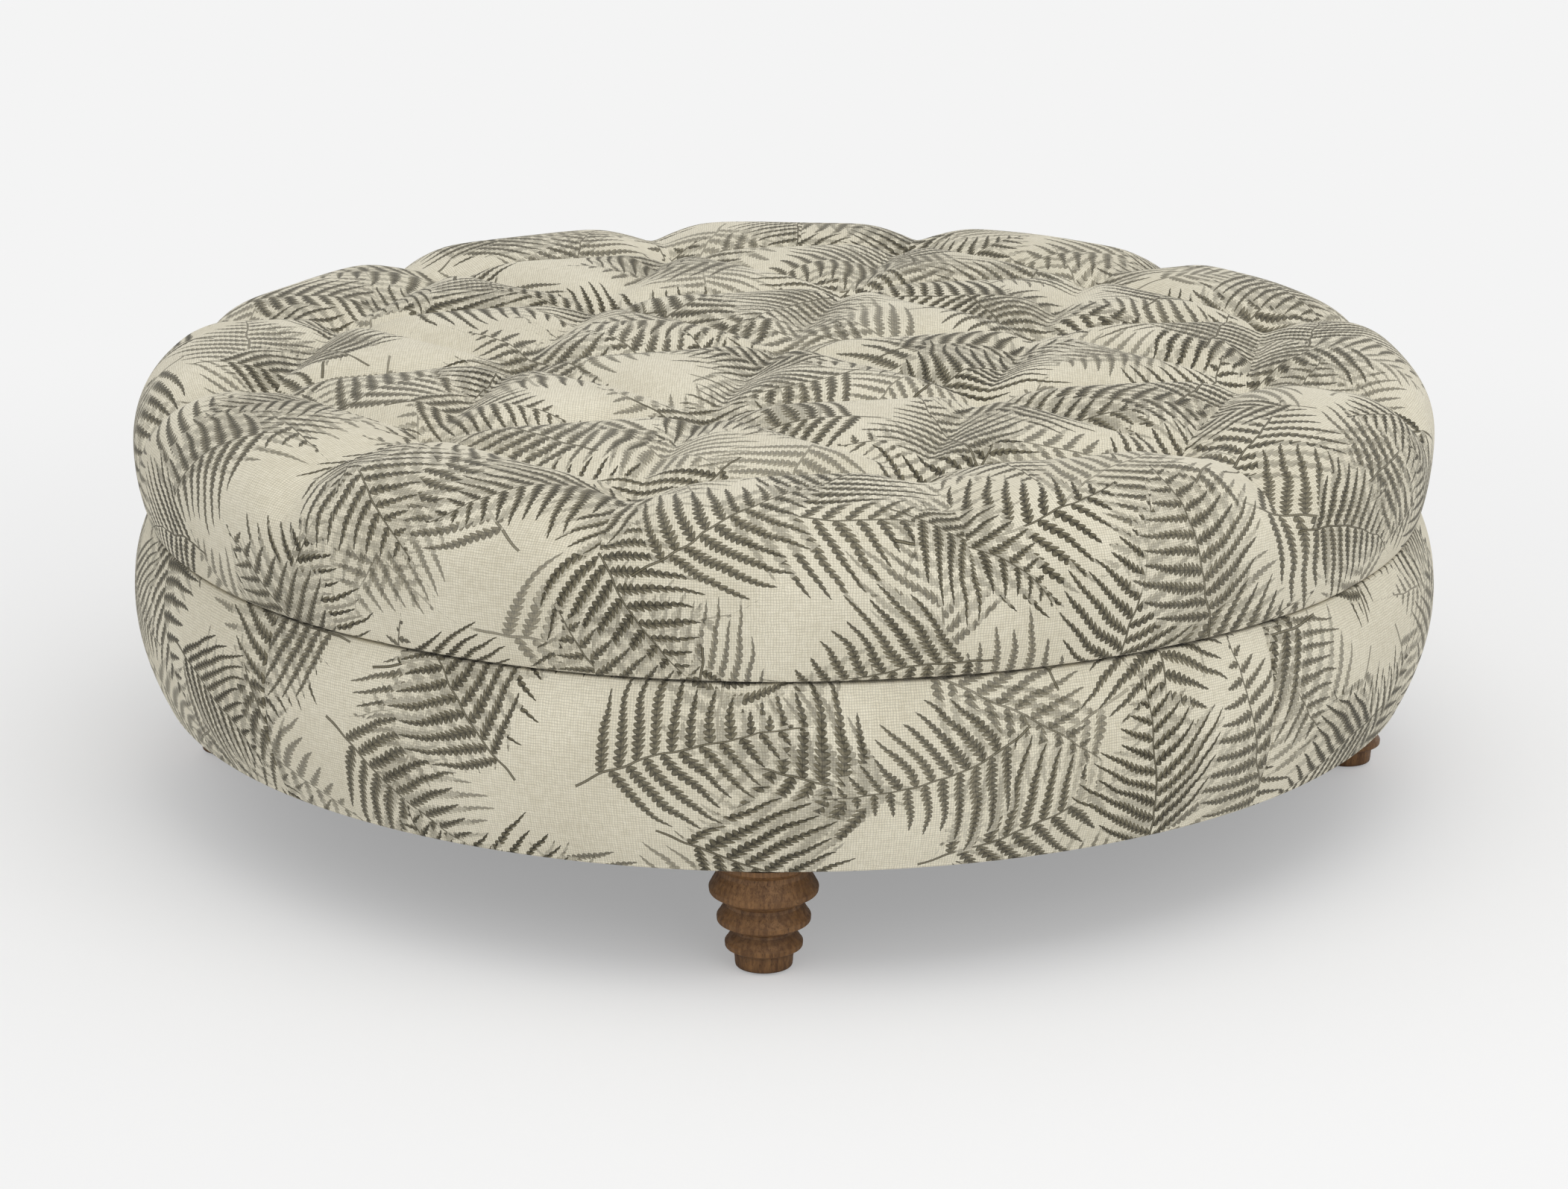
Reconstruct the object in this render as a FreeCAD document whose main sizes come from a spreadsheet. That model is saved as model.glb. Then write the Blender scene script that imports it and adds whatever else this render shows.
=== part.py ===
# A round upholstered footstool, 1.22 m across: a deep-tufted pad on a padded drum,
# raised on four turned wooden feet. Lengths are millimetres and angles degrees.
# The origin is on the floor, on the stool's upright centre line. +Z is up, -Y is the
# front, and angles round the stool run from the front towards +X.
import FreeCAD, Part
import math
import os
import re

import Sketcher

Vector = FreeCAD.Vector
Rotation = FreeCAD.Rotation
Placement = FreeCAD.Placement
UP = Vector(0, 0, 1)

# Driving sizes, each with the name that its sheet cell carries
SIZES = {
    # heights of the stack, from the floor up
    "glide_show": 2.0,
    "dust_cover_thick": 1.0,
    "cover_thick": 1.5,
    "ring_thick": 18.0,
    "post_height": 128.0,
    "deck_thick": 18.0,
    "pad_height": 153.5,
    # the timber drum stands in from the pad's girth
    "pad_radius": 609.5,
    "pad_overhang": 34.5,
    "hoop_thick": 3.0,
    "ring_width": 92.0,
    "foot_inset": 35.0,
    "leg_block_width": 100.0,
    "leg_block_depth": 56.0,
    "leg_block_gap": 1.8,
    "post_width": 44.0,
    "post_depth": 50.0,
    "post_gap": 5.5,
    "post_angle": 30.0,
    "rail_thick": 38.0,
    "rail_depth": 88.0,
    # the padded band round the drum
    "band_proud": 2.5,
    "band_foot_swell": 14.5,
    "groove_swell": 21.0,
    "band_girth_height": 95.0,
    "flange_width": 34.0,
    "tack_strip_width": 6.0,
    "tack_strip_thick": 2.0,
    # the tufted pad
    "pad_girth_height": 72.0,
    "crown_rise": 9.8,
    "batting_thick": 18.0,
    "batting_least": 4.0,
    # tufts on a triangular lattice: one in the middle, six, six and six
    "tuft_edge": 125.5,
    "tuft_pitch_share": 0.5217,
    "tuft_turn": -13.2,
    "tuft_depth": 34.0,
    "tuft_gap": 4.25,
    "tuft_flat": 6.0,
    "hollow_lift": 4.0,
    "valley_depth": 12.0,
    "valley_gap": 2.9,
    # pleats over the shoulder
    "pleat_bend": 127.0,
    "pleat_top_depth": 20.0,
    "pleat_foot_drop": 9.5,
    "pleat_depth": 26.0,
    "pleat_spread": 116.0,
    "twine_radius": 1.5,
    "twine_hole_radius": 4.0,
    "knot_radius": 4.0,
    "knot_height": 3.0,
    "washer_radius": 14.0,
    "washer_thick": 3.0,
    # the turned feet: radii, then the height of each drum, flare, rim, cone and collar
    "drum_radius": 24.3,
    "drum_top_radius": 25.2,
    "rim_low_radius": 33.2,
    "neck_low_radius": 26.0,
    "rim_middle_radius": 40.0,
    "neck_middle_radius": 32.6,
    "rim_top_radius": 46.5,
    "neck_top_radius": 38.6,
    "collar_radius": 46.0,
    "drum_height": 12.5,
    "rim_low_flare": 6.0,
    "rim_thick": 3.5,
    "neck_low_cone": 10.0,
    "rim_middle_flare": 9.5,
    "neck_middle_cone": 11.5,
    "rim_top_flare": 11.5,
    "neck_top_cone": 17.0,
    "collar_flare": 6.5,
    "collar_height": 4.0,
    "rim_round": 2.6,
    "foot_edge": 1.2,
    # what fastens it together
    "bolt_radius": 4.0,
    "bolt_in_foot": 40.0,
    "bolt_above_ring": 14.0,
    "bolt_clearance": 2.0,
    "nut_barrel_radius": 5.2,
    "nut_barrel_length": 13.0,
    "nut_flange_radius": 11.0,
    "nut_flange_thick": 1.5,
    "glide_radius": 14.0,
    "glide_thick": 5.0,
    "glide_pin_radius": 1.5,
    "glide_pin_length": 16.0,
    "screw_radius": 2.5,
    "screw_head_radius": 4.6,
    "screw_head_thick": 3.0,
    "screw_bite": 27.0,
    "leg_screw_spread": 35.0,
    "rail_screw_spread": 22.0,
    "dust_cover_lap": 3.0,
    "staple_inset": 7.0,
    "staple_count": 36,
    "staple_width": 11.0,
    "staple_leg": 9.0,
    "staple_wire": 0.8,
}

# Sizes that follow from the driving ones, each in a sheet cell of its own
FOLLOWING = {
    "drum_top_level": "glide_show + drum_height",
    "rim_low_level": "drum_top_level + rim_low_flare",
    "neck_low_level": "rim_low_level + rim_thick + neck_low_cone",
    "rim_middle_level": "neck_low_level + rim_middle_flare",
    "neck_middle_level": "rim_middle_level + rim_thick + neck_middle_cone",
    "rim_top_level": "neck_middle_level + rim_top_flare",
    "neck_top_level": "rim_top_level + rim_thick + neck_top_cone",
    "collar_level": "neck_top_level + collar_flare",
    "foot_height": "collar_level + collar_height",
    "hoop_radius": "pad_radius - pad_overhang",
    "board_radius": "hoop_radius - hoop_thick",
    "groove_radius": "hoop_radius + groove_swell",
    "foot_circle": "hoop_radius - foot_inset",
    "leg_block_outer": "sqrt(board_radius ^ 2 - leg_block_width ^ 2 / 4) - leg_block_gap",
    "leg_block_inner": "leg_block_outer - leg_block_depth",
    "post_outer": "sqrt(board_radius ^ 2 - post_width ^ 2 / 4) - post_gap",
    "post_inner": "post_outer - post_depth",
    "post_circle": "(post_outer + post_inner) / 2",
    "band_radius": "pad_radius + band_proud",
    "band_foot_radius": "hoop_radius + band_foot_swell",
    "dust_cover_radius": "hoop_radius + dust_cover_lap",
    "staple_circle": "hoop_radius - staple_inset",
    "tuft_outer_circle": "pad_radius - tuft_edge",
    "tuft_pitch": "tuft_outer_circle * tuft_pitch_share",
    "tuft_between_circle": "tuft_pitch * sqrt(3)",
    "tuft_spread": "tuft_pitch / 2 - tuft_gap",
    "valley_spread": "tuft_pitch / sqrt(12) - valley_gap",
}
SHEET = "Sizes"

doc = FreeCAD.newDocument("Footstool")
sheet = doc.addObject("Spreadsheet::Sheet", SHEET)
cells = {alias: str(size) for alias, size in SIZES.items()}
cells |= {alias: f"={formula}" for alias, formula in FOLLOWING.items()}
for row, (alias, content) in enumerate(cells.items(), start=1):
    sheet.set(f"A{row}", alias)
    sheet.setAlias(f"B{row}", alias)
    sheet.set(f"B{row}", content)
doc.recompute()


def bound(formula):
    """The formula as an expression that reads the sheet's cells."""
    return re.sub(r"[a-z]\w*", lambda word: f"{SHEET}.{word[0]}" if word[0] in cells else word[0], formula)


def number(formula):
    """What the formula comes to now."""
    return float(sheet.evalExpression(bound(formula)))


# Heights that several pieces share, as formulas of the sizes
COVER_UNDER = "(foot_height + dust_cover_thick)"
RING_UNDER = f"({COVER_UNDER} + cover_thick)"
RING_TOP = f"({RING_UNDER} + ring_thick)"
DECK_UNDER = f"({RING_TOP} + post_height)"
DECK_TOP = f"({DECK_UNDER} + deck_thick)"
STRIP_UNDER = f"({DECK_TOP} - tack_strip_width)"
PAD_TOP = f"({DECK_TOP} + pad_height)"

QUARTERS = 4
LEG_NAMES = ("front", "right", "back", "left")


def polar(radius, angle, height=0.0):
    """A point that far from the centre line, at that angle from the front towards +X."""
    turn = math.radians(angle)
    return Vector(radius * math.sin(turn), -radius * math.cos(turn), height)


def new_body(label):
    """An empty body under that label."""
    made = doc.addObject("PartDesign::Body", label)
    made.Label = label
    return made


def raise_to(piece, height):
    """Sets the piece's origin at that height, bound to the sheet."""
    piece.setExpression(".Placement.Base.z", bound(height))


def sketch_on(body, name, plane="XY_Plane", height=None):
    """A sketch on one of the body's own origin planes, lifted to a height."""
    sketch = body.newObject("Sketcher::SketchObject", name)
    base = next(item for item in body.Origin.OriginFeatures if item.Role == plane)
    sketch.AttachmentSupport = [(base, "")]
    sketch.MapMode = "FlatFace"
    if height is not None:
        sketch.setExpression(".AttachmentOffset.Base.z", bound(height))
    return sketch


def hold(sketch, formula, *constraint):
    """Adds one dimension to the sketch and binds it to the sheet."""
    index = sketch.addConstraint(Sketcher.Constraint(*constraint, number(formula)))
    sketch.setExpression(f"Constraints[{index}]", bound(formula))


def add_circle(sketch, radius, x="0", y="0"):
    """A circle of that radius about (x, y)."""
    shape = Part.Circle(Vector(number(x), number(y), 0), UP, number(radius))
    index = sketch.addGeometry(shape, False)
    hold(sketch, radius, "Radius", index)
    for formula, way in ((x, "DistanceX"), (y, "DistanceY")):
        if formula == "0":
            side = -2 if way == "DistanceX" else -1
            sketch.addConstraint(Sketcher.Constraint("PointOnObject", index, 3, side))
        else:
            hold(sketch, formula, way, -1, 1, index, 3)


def add_outline(sketch, corners):
    """A closed outline of straight lines through the corners, each (x, y) in formulas."""
    places = [Vector(number(x), number(y), 0) for x, y in corners]
    count = len(places)
    first = sketch.GeometryCount
    for index in range(count):
        sketch.addGeometry(Part.LineSegment(places[index], places[(index + 1) % count]), False)
    for index in range(count):
        following = first + (index + 1) % count
        sketch.addConstraint(Sketcher.Constraint("Coincident", first + index, 2, following, 1))
    for index, (x, y) in enumerate(corners, start=first):
        hold(sketch, x, "DistanceX", -1, 1, index, 1)
        hold(sketch, y, "DistanceY", -1, 1, index, 1)


def pad_of(body, sketch, length):
    """Raises the sketch into a solid of that length."""
    feature = body.newObject("PartDesign::Pad", f"{sketch.Name}_pad")
    feature.Profile = sketch
    feature.setExpression("Length", bound(length))
    return feature


def pocket_of(body, sketch, length, up=True):
    """Cuts the sketch into the solid, upwards or downwards, for that length."""
    feature = body.newObject("PartDesign::Pocket", f"{sketch.Name}_pocket")
    feature.Profile = sketch
    feature.Reversed = up
    feature.setExpression("Length", bound(length))
    return feature


def pattern_of(body, feature, count):
    """Repeats the feature round the body's own Z axis."""
    pattern = body.newObject("PartDesign::PolarPattern", f"{feature.Name}_pattern")
    pattern.Originals = [feature]
    axis = next(item for item in body.Origin.OriginFeatures if item.Role == "Z_Axis")
    pattern.Axis = (axis, [""])
    pattern.Angle = 360
    pattern.Occurrences = count
    body.Tip = pattern
    return pattern


def turned_body(label, corners):
    """A body turned about Z from an outline of (radius, height) formulas."""
    body = new_body(label)
    sketch = sketch_on(body, f"{label}_outline", "XZ_Plane")
    add_outline(sketch, corners)
    turned = body.newObject("PartDesign::Revolution", f"{label}_turned")
    turned.Profile = sketch
    turned.ReferenceAxis = (sketch, ["V_Axis"])
    turned.Angle = 360
    return body


def feature_of(label, shape):
    """A piece whose shape is worked out here from the sheet's sizes."""
    piece = doc.addObject("Part::Feature", label)
    piece.Label = label
    piece.Shape = shape
    piece.Placement = Placement()
    return piece


def rod(radius, low, high):
    """A plain upright cylinder on the centre line between two heights."""
    return Part.makeCylinder(radius, high - low, Vector(0, 0, low))


def copies(shape, places):
    """The shape repeated at every placement, as one group of separate solids."""
    return Part.Compound([shape.transformed(place.toMatrix()) for place in places])


def at_polar(radius, angle, height=0.0):
    """A placement there, with its own -Y pointing away from the centre line."""
    return Placement(polar(radius, angle, height), Rotation(UP, angle))


# Where things stand: feet and leg blocks on the axes, and two posts in each quarter
leg_angles = [index * 360 / QUARTERS for index in range(QUARTERS)]
post_sides = (number("post_angle"), 90 - number("post_angle"))
post_angles = [corner + side for corner in leg_angles for side in post_sides]


def tuft_places():
    """The tufts as (radius, angle): the middle one, then three rings of six."""
    turn = number("tuft_turn")
    rings = [("tuft_pitch", 0), ("tuft_between_circle", 30), ("tuft_outer_circle", 0)]
    found = [(0.0, 0.0)]
    for radius, offset in rings:
        found += [(number(radius), turn + offset + 60 * step) for step in range(6)]
    return found


# Feet: turned from one blank, a drum with three flared rims above it and a collar that
# meets the stool. A bolt's blind hole goes down from the top, and a glide's recess and
# pin hole come up from below.
FOOT_OUTLINE = [
    ("0", "glide_show"),
    ("drum_radius", "glide_show"),
    ("drum_top_radius", "drum_top_level"),
    ("rim_low_radius", "rim_low_level"),
    ("rim_low_radius", "rim_low_level + rim_thick"),
    ("neck_low_radius", "neck_low_level"),
    ("rim_middle_radius", "rim_middle_level"),
    ("rim_middle_radius", "rim_middle_level + rim_thick"),
    ("neck_middle_radius", "neck_middle_level"),
    ("rim_top_radius", "rim_top_level"),
    ("rim_top_radius", "rim_top_level + rim_thick"),
    ("neck_top_radius", "neck_top_level"),
    ("collar_radius", "collar_level"),
    ("collar_radius", "foot_height"),
    ("0", "foot_height"),
]


def rim_edges(shape):
    """The names of the circles at the flared rims' outer corners."""
    rims = ("rim_low", "rim_middle", "rim_top")
    wanted = {round(number(f"{rim}_radius"), 3) for rim in rims}
    levels = [number(f"{rim}_level") for rim in rims]
    drop = number("rim_thick")
    names = []
    for index, edge in enumerate(shape.Edges, start=1):
        if not isinstance(edge.Curve, Part.Circle):
            continue
        height = edge.Curve.Center.z
        at_rim = any(abs(height - level) < 0.01 or abs(height - level - drop) < 0.01 for level in levels)
        if at_rim and round(edge.Curve.Radius, 3) in wanted:
            names.append(f"Edge{index}")
    return names


def make_foot(name, angle):
    """One turned foot, standing on its glide at that angle."""
    body = turned_body(f"foot_{name}", FOOT_OUTLINE)
    blank = body.Tip
    blank.recompute(True)
    rounded = body.newObject("PartDesign::Fillet", f"foot_{name}_rims")
    rounded.Base = (blank, rim_edges(blank.Shape))
    rounded.setExpression("Radius", bound("min(rim_round; rim_thick * 0.48)"))
    bolt_hole = sketch_on(body, f"foot_{name}_bolt_hole", height="foot_height - bolt_in_foot")
    add_circle(bolt_hole, "bolt_radius")
    pocket_of(body, bolt_hole, "bolt_in_foot")
    recess = sketch_on(body, f"foot_{name}_recess", height="glide_show")
    add_circle(recess, "glide_radius")
    pocket_of(body, recess, "glide_thick - glide_show")
    pin_hole = sketch_on(body, f"foot_{name}_pin_hole", height="glide_show")
    add_circle(pin_hole, "glide_pin_radius")
    pocket_of(body, pin_hole, "glide_thick - glide_show + glide_pin_length")
    body.Placement = at_polar(number("foot_circle"), angle)
    return body


def make_glide(name, angle):
    """A moulded glide with a steel pin, pressed into the foot's underside."""
    label = f"foot_glide_{name}"
    body = turned_body(
        label,
        [
            ("0", "0"),
            ("glide_radius - foot_edge", "0"),
            ("glide_radius", "foot_edge"),
            ("glide_radius", "glide_thick"),
            ("glide_pin_radius", "glide_thick"),
            ("glide_pin_radius", "glide_thick + glide_pin_length"),
            ("0", "glide_thick + glide_pin_length"),
        ],
    )
    body.Placement = at_polar(number("foot_circle"), angle)
    return body


# Timber drum: a plywood ring below and a plywood deck above, held apart by four leg
# blocks and eight posts, tied across by two rails that are halved into each other.
# Corner screws share their places, so that each board's holes meet the blocks' holes.
def screw_spots():
    """Where the boards' upright screws go in the first quarter, as (x, y) formulas."""
    spots = [("leg_screw_spread", "-foot_circle"), ("-leg_screw_spread", "-foot_circle")]
    for turn in ("post_angle", "(90 - post_angle)"):
        spots.append((f"post_circle * sin({turn})", f"-post_circle * cos({turn})"))
    return spots


def screw_hole_sketch(body, name, radius, height):
    """The first quarter's screw holes, drawn at that height."""
    sketch = sketch_on(body, name, height=height)
    for x, y in screw_spots():
        add_circle(sketch, radius, x, y)
    return sketch


def drill_screws(body, prefix, thick, head_low):
    """Screw holes through a board with its underside at 0, and their head recesses."""
    shanks = screw_hole_sketch(body, f"{prefix}_shank_holes", "screw_radius", "0")
    pattern_of(body, pocket_of(body, shanks, thick), QUARTERS)
    heads = screw_hole_sketch(body, f"{prefix}_head_recesses", "screw_head_radius", head_low)
    pattern_of(body, pocket_of(body, heads, "screw_head_thick"), QUARTERS)


def make_base_ring():
    """The plywood ring under the drum, with a nut let into it over each foot."""
    body = new_body("base_ring")
    ring = sketch_on(body, "base_ring_outline")
    add_circle(ring, "board_radius")
    add_circle(ring, "board_radius - ring_width")
    pad_of(body, ring, "ring_thick")
    drill_screws(body, "base_ring", "ring_thick", "0")
    flange_low = "ring_thick - nut_flange_thick"
    for name, radius, low, depth in (
        ("bolt", "bolt_radius", "0", "ring_thick"),
        ("barrel", "nut_barrel_radius", f"{flange_low} - nut_barrel_length", "nut_barrel_length"),
        ("flange", "nut_flange_radius", flange_low, "nut_flange_thick"),
    ):
        hole = sketch_on(body, f"base_ring_{name}_hole", height=low)
        add_circle(hole, radius, "0", "-foot_circle")
        pattern_of(body, pocket_of(body, hole, depth), QUARTERS)
    staple_slots(body, "base_ring_staple_slots", "0", "staple_leg - dust_cover_thick - cover_thick")
    raise_to(body, RING_UNDER)
    return body


def make_deck():
    """The plywood disc that carries the pad, bored for the tufting twines."""
    body = new_body("deck_board")
    disc = sketch_on(body, "deck_outline")
    add_circle(disc, "board_radius")
    pad_of(body, disc, "deck_thick")
    middle = sketch_on(body, "deck_middle_hole")
    add_circle(middle, "twine_hole_radius")
    pocket_of(body, middle, "deck_thick")
    holes = sketch_on(body, "deck_twine_holes")
    for radius, turn in (
        ("tuft_pitch", "tuft_turn"),
        ("tuft_between_circle", "(tuft_turn + 30)"),
        ("tuft_outer_circle", "tuft_turn"),
    ):
        add_circle(holes, "twine_hole_radius", f"{radius} * sin({turn})", f"-{radius} * cos({turn})")
    pattern_of(body, pocket_of(body, holes, "deck_thick"), 6)
    drill_screws(body, "deck", "deck_thick", "deck_thick - screw_head_thick")
    raise_to(body, DECK_UNDER)
    return body


def add_box(sketch, left, right, low, high):
    """A rectangle between those sides."""
    add_outline(sketch, [(left, low), (right, low), (right, high), (left, high)])


def make_block(label, angle, kind, circle, holes):
    """An upright block between the boards, with its screws' pilot holes at both ends."""
    body = new_body(label)
    outline = sketch_on(body, f"{label}_outline")
    add_box(outline, f"-{kind}_width / 2", f"{kind}_width / 2", f"-{kind}_outer", f"-{kind}_inner")
    pad_of(body, outline, "post_height")
    for end, height in (("foot", "0"), ("head", "post_height - screw_bite")):
        pilots = sketch_on(body, f"{label}_{end}_pilots", height=height)
        for x in holes:
            add_circle(pilots, "screw_radius", x, f"-{circle}")
        pocket_of(body, pilots, "screw_bite")
    body.Placement = Placement(Vector(0, 0, number(RING_TOP)), Rotation(UP, angle))
    raise_to(body, RING_TOP)
    return body


def drill_across(body, name, radius, heights, length, start):
    """Level holes along Y, from that far along it, at each height."""
    sketch = sketch_on(body, name, "XZ_Plane", start)
    for height in heights:
        add_circle(sketch, radius, "0", height)
    return pocket_of(body, sketch, length)


RAIL_LEVEL = "(post_height - rail_depth / 2)"
RAIL_SCREW_LEVELS = (f"{RAIL_LEVEL} - rail_screw_spread", f"{RAIL_LEVEL} + rail_screw_spread")
RAIL_SCREW_LENGTH = "(leg_block_depth + screw_bite)"


def make_leg_block(name, angle):
    """The hardwood block over a foot: clear of the bolt's end, and bored for the rail screws."""
    label = f"leg_block_{name}"
    body = make_block(label, angle, "leg_block", "foot_circle", ("leg_screw_spread", "-leg_screw_spread"))
    clear = sketch_on(body, f"{label}_bolt_clearance")
    add_circle(clear, "bolt_radius + bolt_clearance", "0", "-foot_circle")
    pocket_of(body, clear, "bolt_above_ring + bolt_clearance")
    levels = RAIL_SCREW_LEVELS
    drill_across(body, f"{label}_rail_holes", "screw_radius", levels, "leg_block_depth", "leg_block_inner")
    head_start = "leg_block_outer - screw_head_thick"
    drill_across(body, f"{label}_rail_heads", "screw_head_radius", levels, "screw_head_thick", head_start)
    return body


def make_rail(label, angle, notch_low):
    """A rail from block to block under the deck, halved over the other where they cross."""
    body = new_body(label)
    outline = sketch_on(body, f"{label}_outline")
    add_box(outline, "-rail_thick / 2", "rail_thick / 2", "-leg_block_inner", "leg_block_inner")
    pad_of(body, outline, "rail_depth")
    notch = sketch_on(body, f"{label}_notch", height=notch_low)
    add_box(notch, "-rail_thick / 2", "rail_thick / 2", "-rail_thick / 2", "rail_thick / 2")
    pocket_of(body, notch, "rail_depth / 2")
    bore = sketch_on(body, f"{label}_twine_bore")
    add_circle(bore, "twine_hole_radius")
    pocket_of(body, bore, "rail_depth")
    levels = ("rail_depth / 2 - rail_screw_spread", "rail_depth / 2 + rail_screw_spread")
    near = "leg_block_inner - screw_bite"
    drill_across(body, f"{label}_near_pilots", "screw_radius", levels, "screw_bite", near)
    drill_across(body, f"{label}_far_pilots", "screw_radius", levels, "screw_bite", "-leg_block_inner")
    body.Placement = Placement(Vector(0, 0, number(f"{DECK_UNDER} - rail_depth")), Rotation(UP, angle))
    raise_to(body, f"{DECK_UNDER} - rail_depth")
    return body


def make_hoop():
    """The thin bent board round the drum, from the ring's underside to the deck's top."""
    body = new_body("side_hoop")
    ring = sketch_on(body, "side_hoop_outline")
    add_circle(ring, "hoop_radius")
    add_circle(ring, "board_radius")
    pad_of(body, ring, f"{DECK_TOP} - {RING_UNDER}")
    raise_to(body, RING_UNDER)
    return body


def make_tack_strip():
    """The card strip at the hoop's top, over which both covers' edges are tacked."""
    body = new_body("tack_strip")
    ring = sketch_on(body, "tack_strip_outline")
    add_circle(ring, "hoop_radius + tack_strip_thick")
    add_circle(ring, "hoop_radius")
    pad_of(body, ring, "tack_strip_width")
    raise_to(body, STRIP_UNDER)
    return body


# Padded band: foam round the hoop under its own strip of cover, fullest above its middle.
# Its flat top carries the pad's edge, and the two swell towards each other in a groove.
def band_side(inset):
    """The band's outer side from its foot to its top, as two arcs, drawn in by the inset."""
    girth_radius = number("band_radius") - inset
    girth = Vector(girth_radius, 0, number(f"{RING_UNDER} + band_girth_height"))
    foot = Vector(number("band_foot_radius") - inset, 0, number(RING_UNDER))
    top = Vector(number("groove_radius") - inset, 0, number(DECK_TOP))
    lower = arc_from_girth(girth, foot)
    upper = arc_from_girth(girth, top)
    return [Part.Arc(foot, lower, girth).toShape(), Part.Arc(girth, upper, top).toShape()], foot, top


def arc_from_girth(girth, end):
    """The middle of an arc that leaves the girth upright and ends there."""
    inward = girth.x - end.x
    rise = end.z - girth.z
    radius = (inward**2 + rise**2) / (2 * inward)
    half = math.asin(min(1.0, abs(rise) / radius)) / 2
    middle = girth.z + math.copysign(radius * math.sin(half), rise)
    return Vector(girth.x - radius * (1 - math.cos(half)), 0, middle)


def turned(edges):
    """The closed outline turned about the centre line."""
    face = Part.Face(Part.Wire(Part.__sortEdges__(edges)))
    return face.revolve(Vector(), UP, 360)


def line(start, end):
    """A straight edge between two points."""
    return Part.LineSegment(start, end).toShape()


def make_band_foam():
    """The foam between the hoop and the band's cover."""
    hoop = number("hoop_radius")
    strip = number("hoop_radius + tack_strip_thick")
    side, foot, top = band_side(number("cover_thick"))
    strip_low = top.z - number("tack_strip_width")
    corners = [top, Vector(strip, 0, top.z), Vector(strip, 0, strip_low)]
    corners += [Vector(hoop, 0, strip_low), Vector(hoop, 0, foot.z), foot]
    edges = side + [line(start, end) for start, end in zip(corners, corners[1:])]
    return feature_of("band_foam", turned(edges))


def make_band_cover():
    """The printed cloth of the band, turned in under the drum at its foot."""
    thick = number("cover_thick")
    outer, outer_foot, outer_top = band_side(0)
    inner, inner_foot, inner_top = band_side(thick)
    flange = number("band_foot_radius - flange_width")
    under = number(COVER_UNDER)
    corner = Vector(outer_foot.x, 0, under)
    flange_low = Vector(flange, 0, under)
    flange_high = Vector(flange, 0, outer_foot.z)
    edges = outer + inner + [
        line(outer_top, inner_top),
        line(inner_foot, flange_high),
        line(flange_high, flange_low),
        line(flange_low, corner),
        line(corner, outer_foot),
    ]
    return feature_of("band_cover", turned(edges))


# Tufted pad: a foam slab, batting over it and a cover. The cover's two faces follow one
# form, drawn in by the cloth's thickness. The form swells from the groove to its girth
# and rounds over on to a low crown. Every tuft pulls a dimple into the crown, valleys
# run from dimple to dimple, and a pleat runs from each outer dimple over the shoulder.
# It is made as one wedge of a twelfth, cut, mirrored and repeated round the centre line.
WEDGE = 30
SEW_TOLERANCE = 1e-4
SHOULDER_BEND = "(pad_height - pad_girth_height - crown_rise)"
SHOULDER_CIRCLE = f"(pad_radius - {SHOULDER_BEND})"
GIRTH_LEVEL = f"({DECK_TOP} + pad_girth_height)"


def crown_centre():
    """The height of the crown's centre, and its radius: it meets the shoulder smoothly."""
    bend = number(SHOULDER_BEND)
    reach = number(SHOULDER_CIRCLE)
    rise = number(PAD_TOP) - number(GIRTH_LEVEL)
    radius = (reach**2 + rise**2 - bend**2) / (2 * (rise - bend))
    return number(PAD_TOP) - radius, radius


def crown_level(radius):
    """The crown's height that far from the centre line, before any tuft is pulled."""
    centre, bend = crown_centre()
    return centre + math.sqrt(bend**2 - radius**2)


def pad_side(inset):
    """The pad's outline from the groove to the top of its crown, drawn in by the inset."""
    bend = number(SHOULDER_BEND) - inset
    reach = number(SHOULDER_CIRCLE)
    level = number(GIRTH_LEVEL)
    centre, crown = crown_centre()
    girth = Vector(reach + bend, 0, level)
    groove = Vector(number("groove_radius") - inset, 0, number(DECK_TOP))
    lean = math.atan2(reach, level - centre)
    meet = Vector((crown - inset) * math.sin(lean), 0, centre + (crown - inset) * math.cos(lean))
    top = Vector(0, 0, centre + crown - inset)
    half = (math.pi / 2 - lean) / 2
    shoulder = Vector(reach + bend * math.cos(half), 0, level + bend * math.sin(half))
    brow = Vector((crown - inset) * math.sin(lean / 2), 0, centre + (crown - inset) * math.cos(lean / 2))
    arcs = [
        Part.Arc(groove, arc_from_girth(girth, groove), girth).toShape(),
        Part.Arc(girth, shoulder, meet).toShape(),
        Part.Arc(meet, brow, top).toShape(),
    ]
    return arcs, groove, top


def wedge_of(edges):
    """The outline in the XZ plane swept through one wedge, which starts at the tufts' turn."""
    face = Part.Face(Part.Wire(Part.__sortEdges__(edges)))
    face.rotate(Vector(), UP, number("tuft_turn") - 90)
    return face.revolve(Vector(), UP, WEDGE)


def hollow_side(spread, depth, inset, flat=0.0):
    """Half a hollow's outline about Z, from its bottom to its rim, which is level at 0."""
    reach = spread - flat
    bend = (reach**2 + depth**2) / (2 * depth)
    low = -depth - inset
    start = spread - math.sqrt((bend - inset) ** 2 - (low + bend) ** 2) if flat else 0.0
    if not flat:
        low = -bend + math.sqrt((bend - inset) ** 2 - spread**2)
    half = math.asin((spread - start) / (bend - inset)) / 2
    middle = Vector(spread - (bend - inset) * math.sin(half), 0, (bend - inset) * math.cos(half) - bend)
    return Vector(start, 0, low), middle, Vector(spread, 0, -inset)


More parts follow.
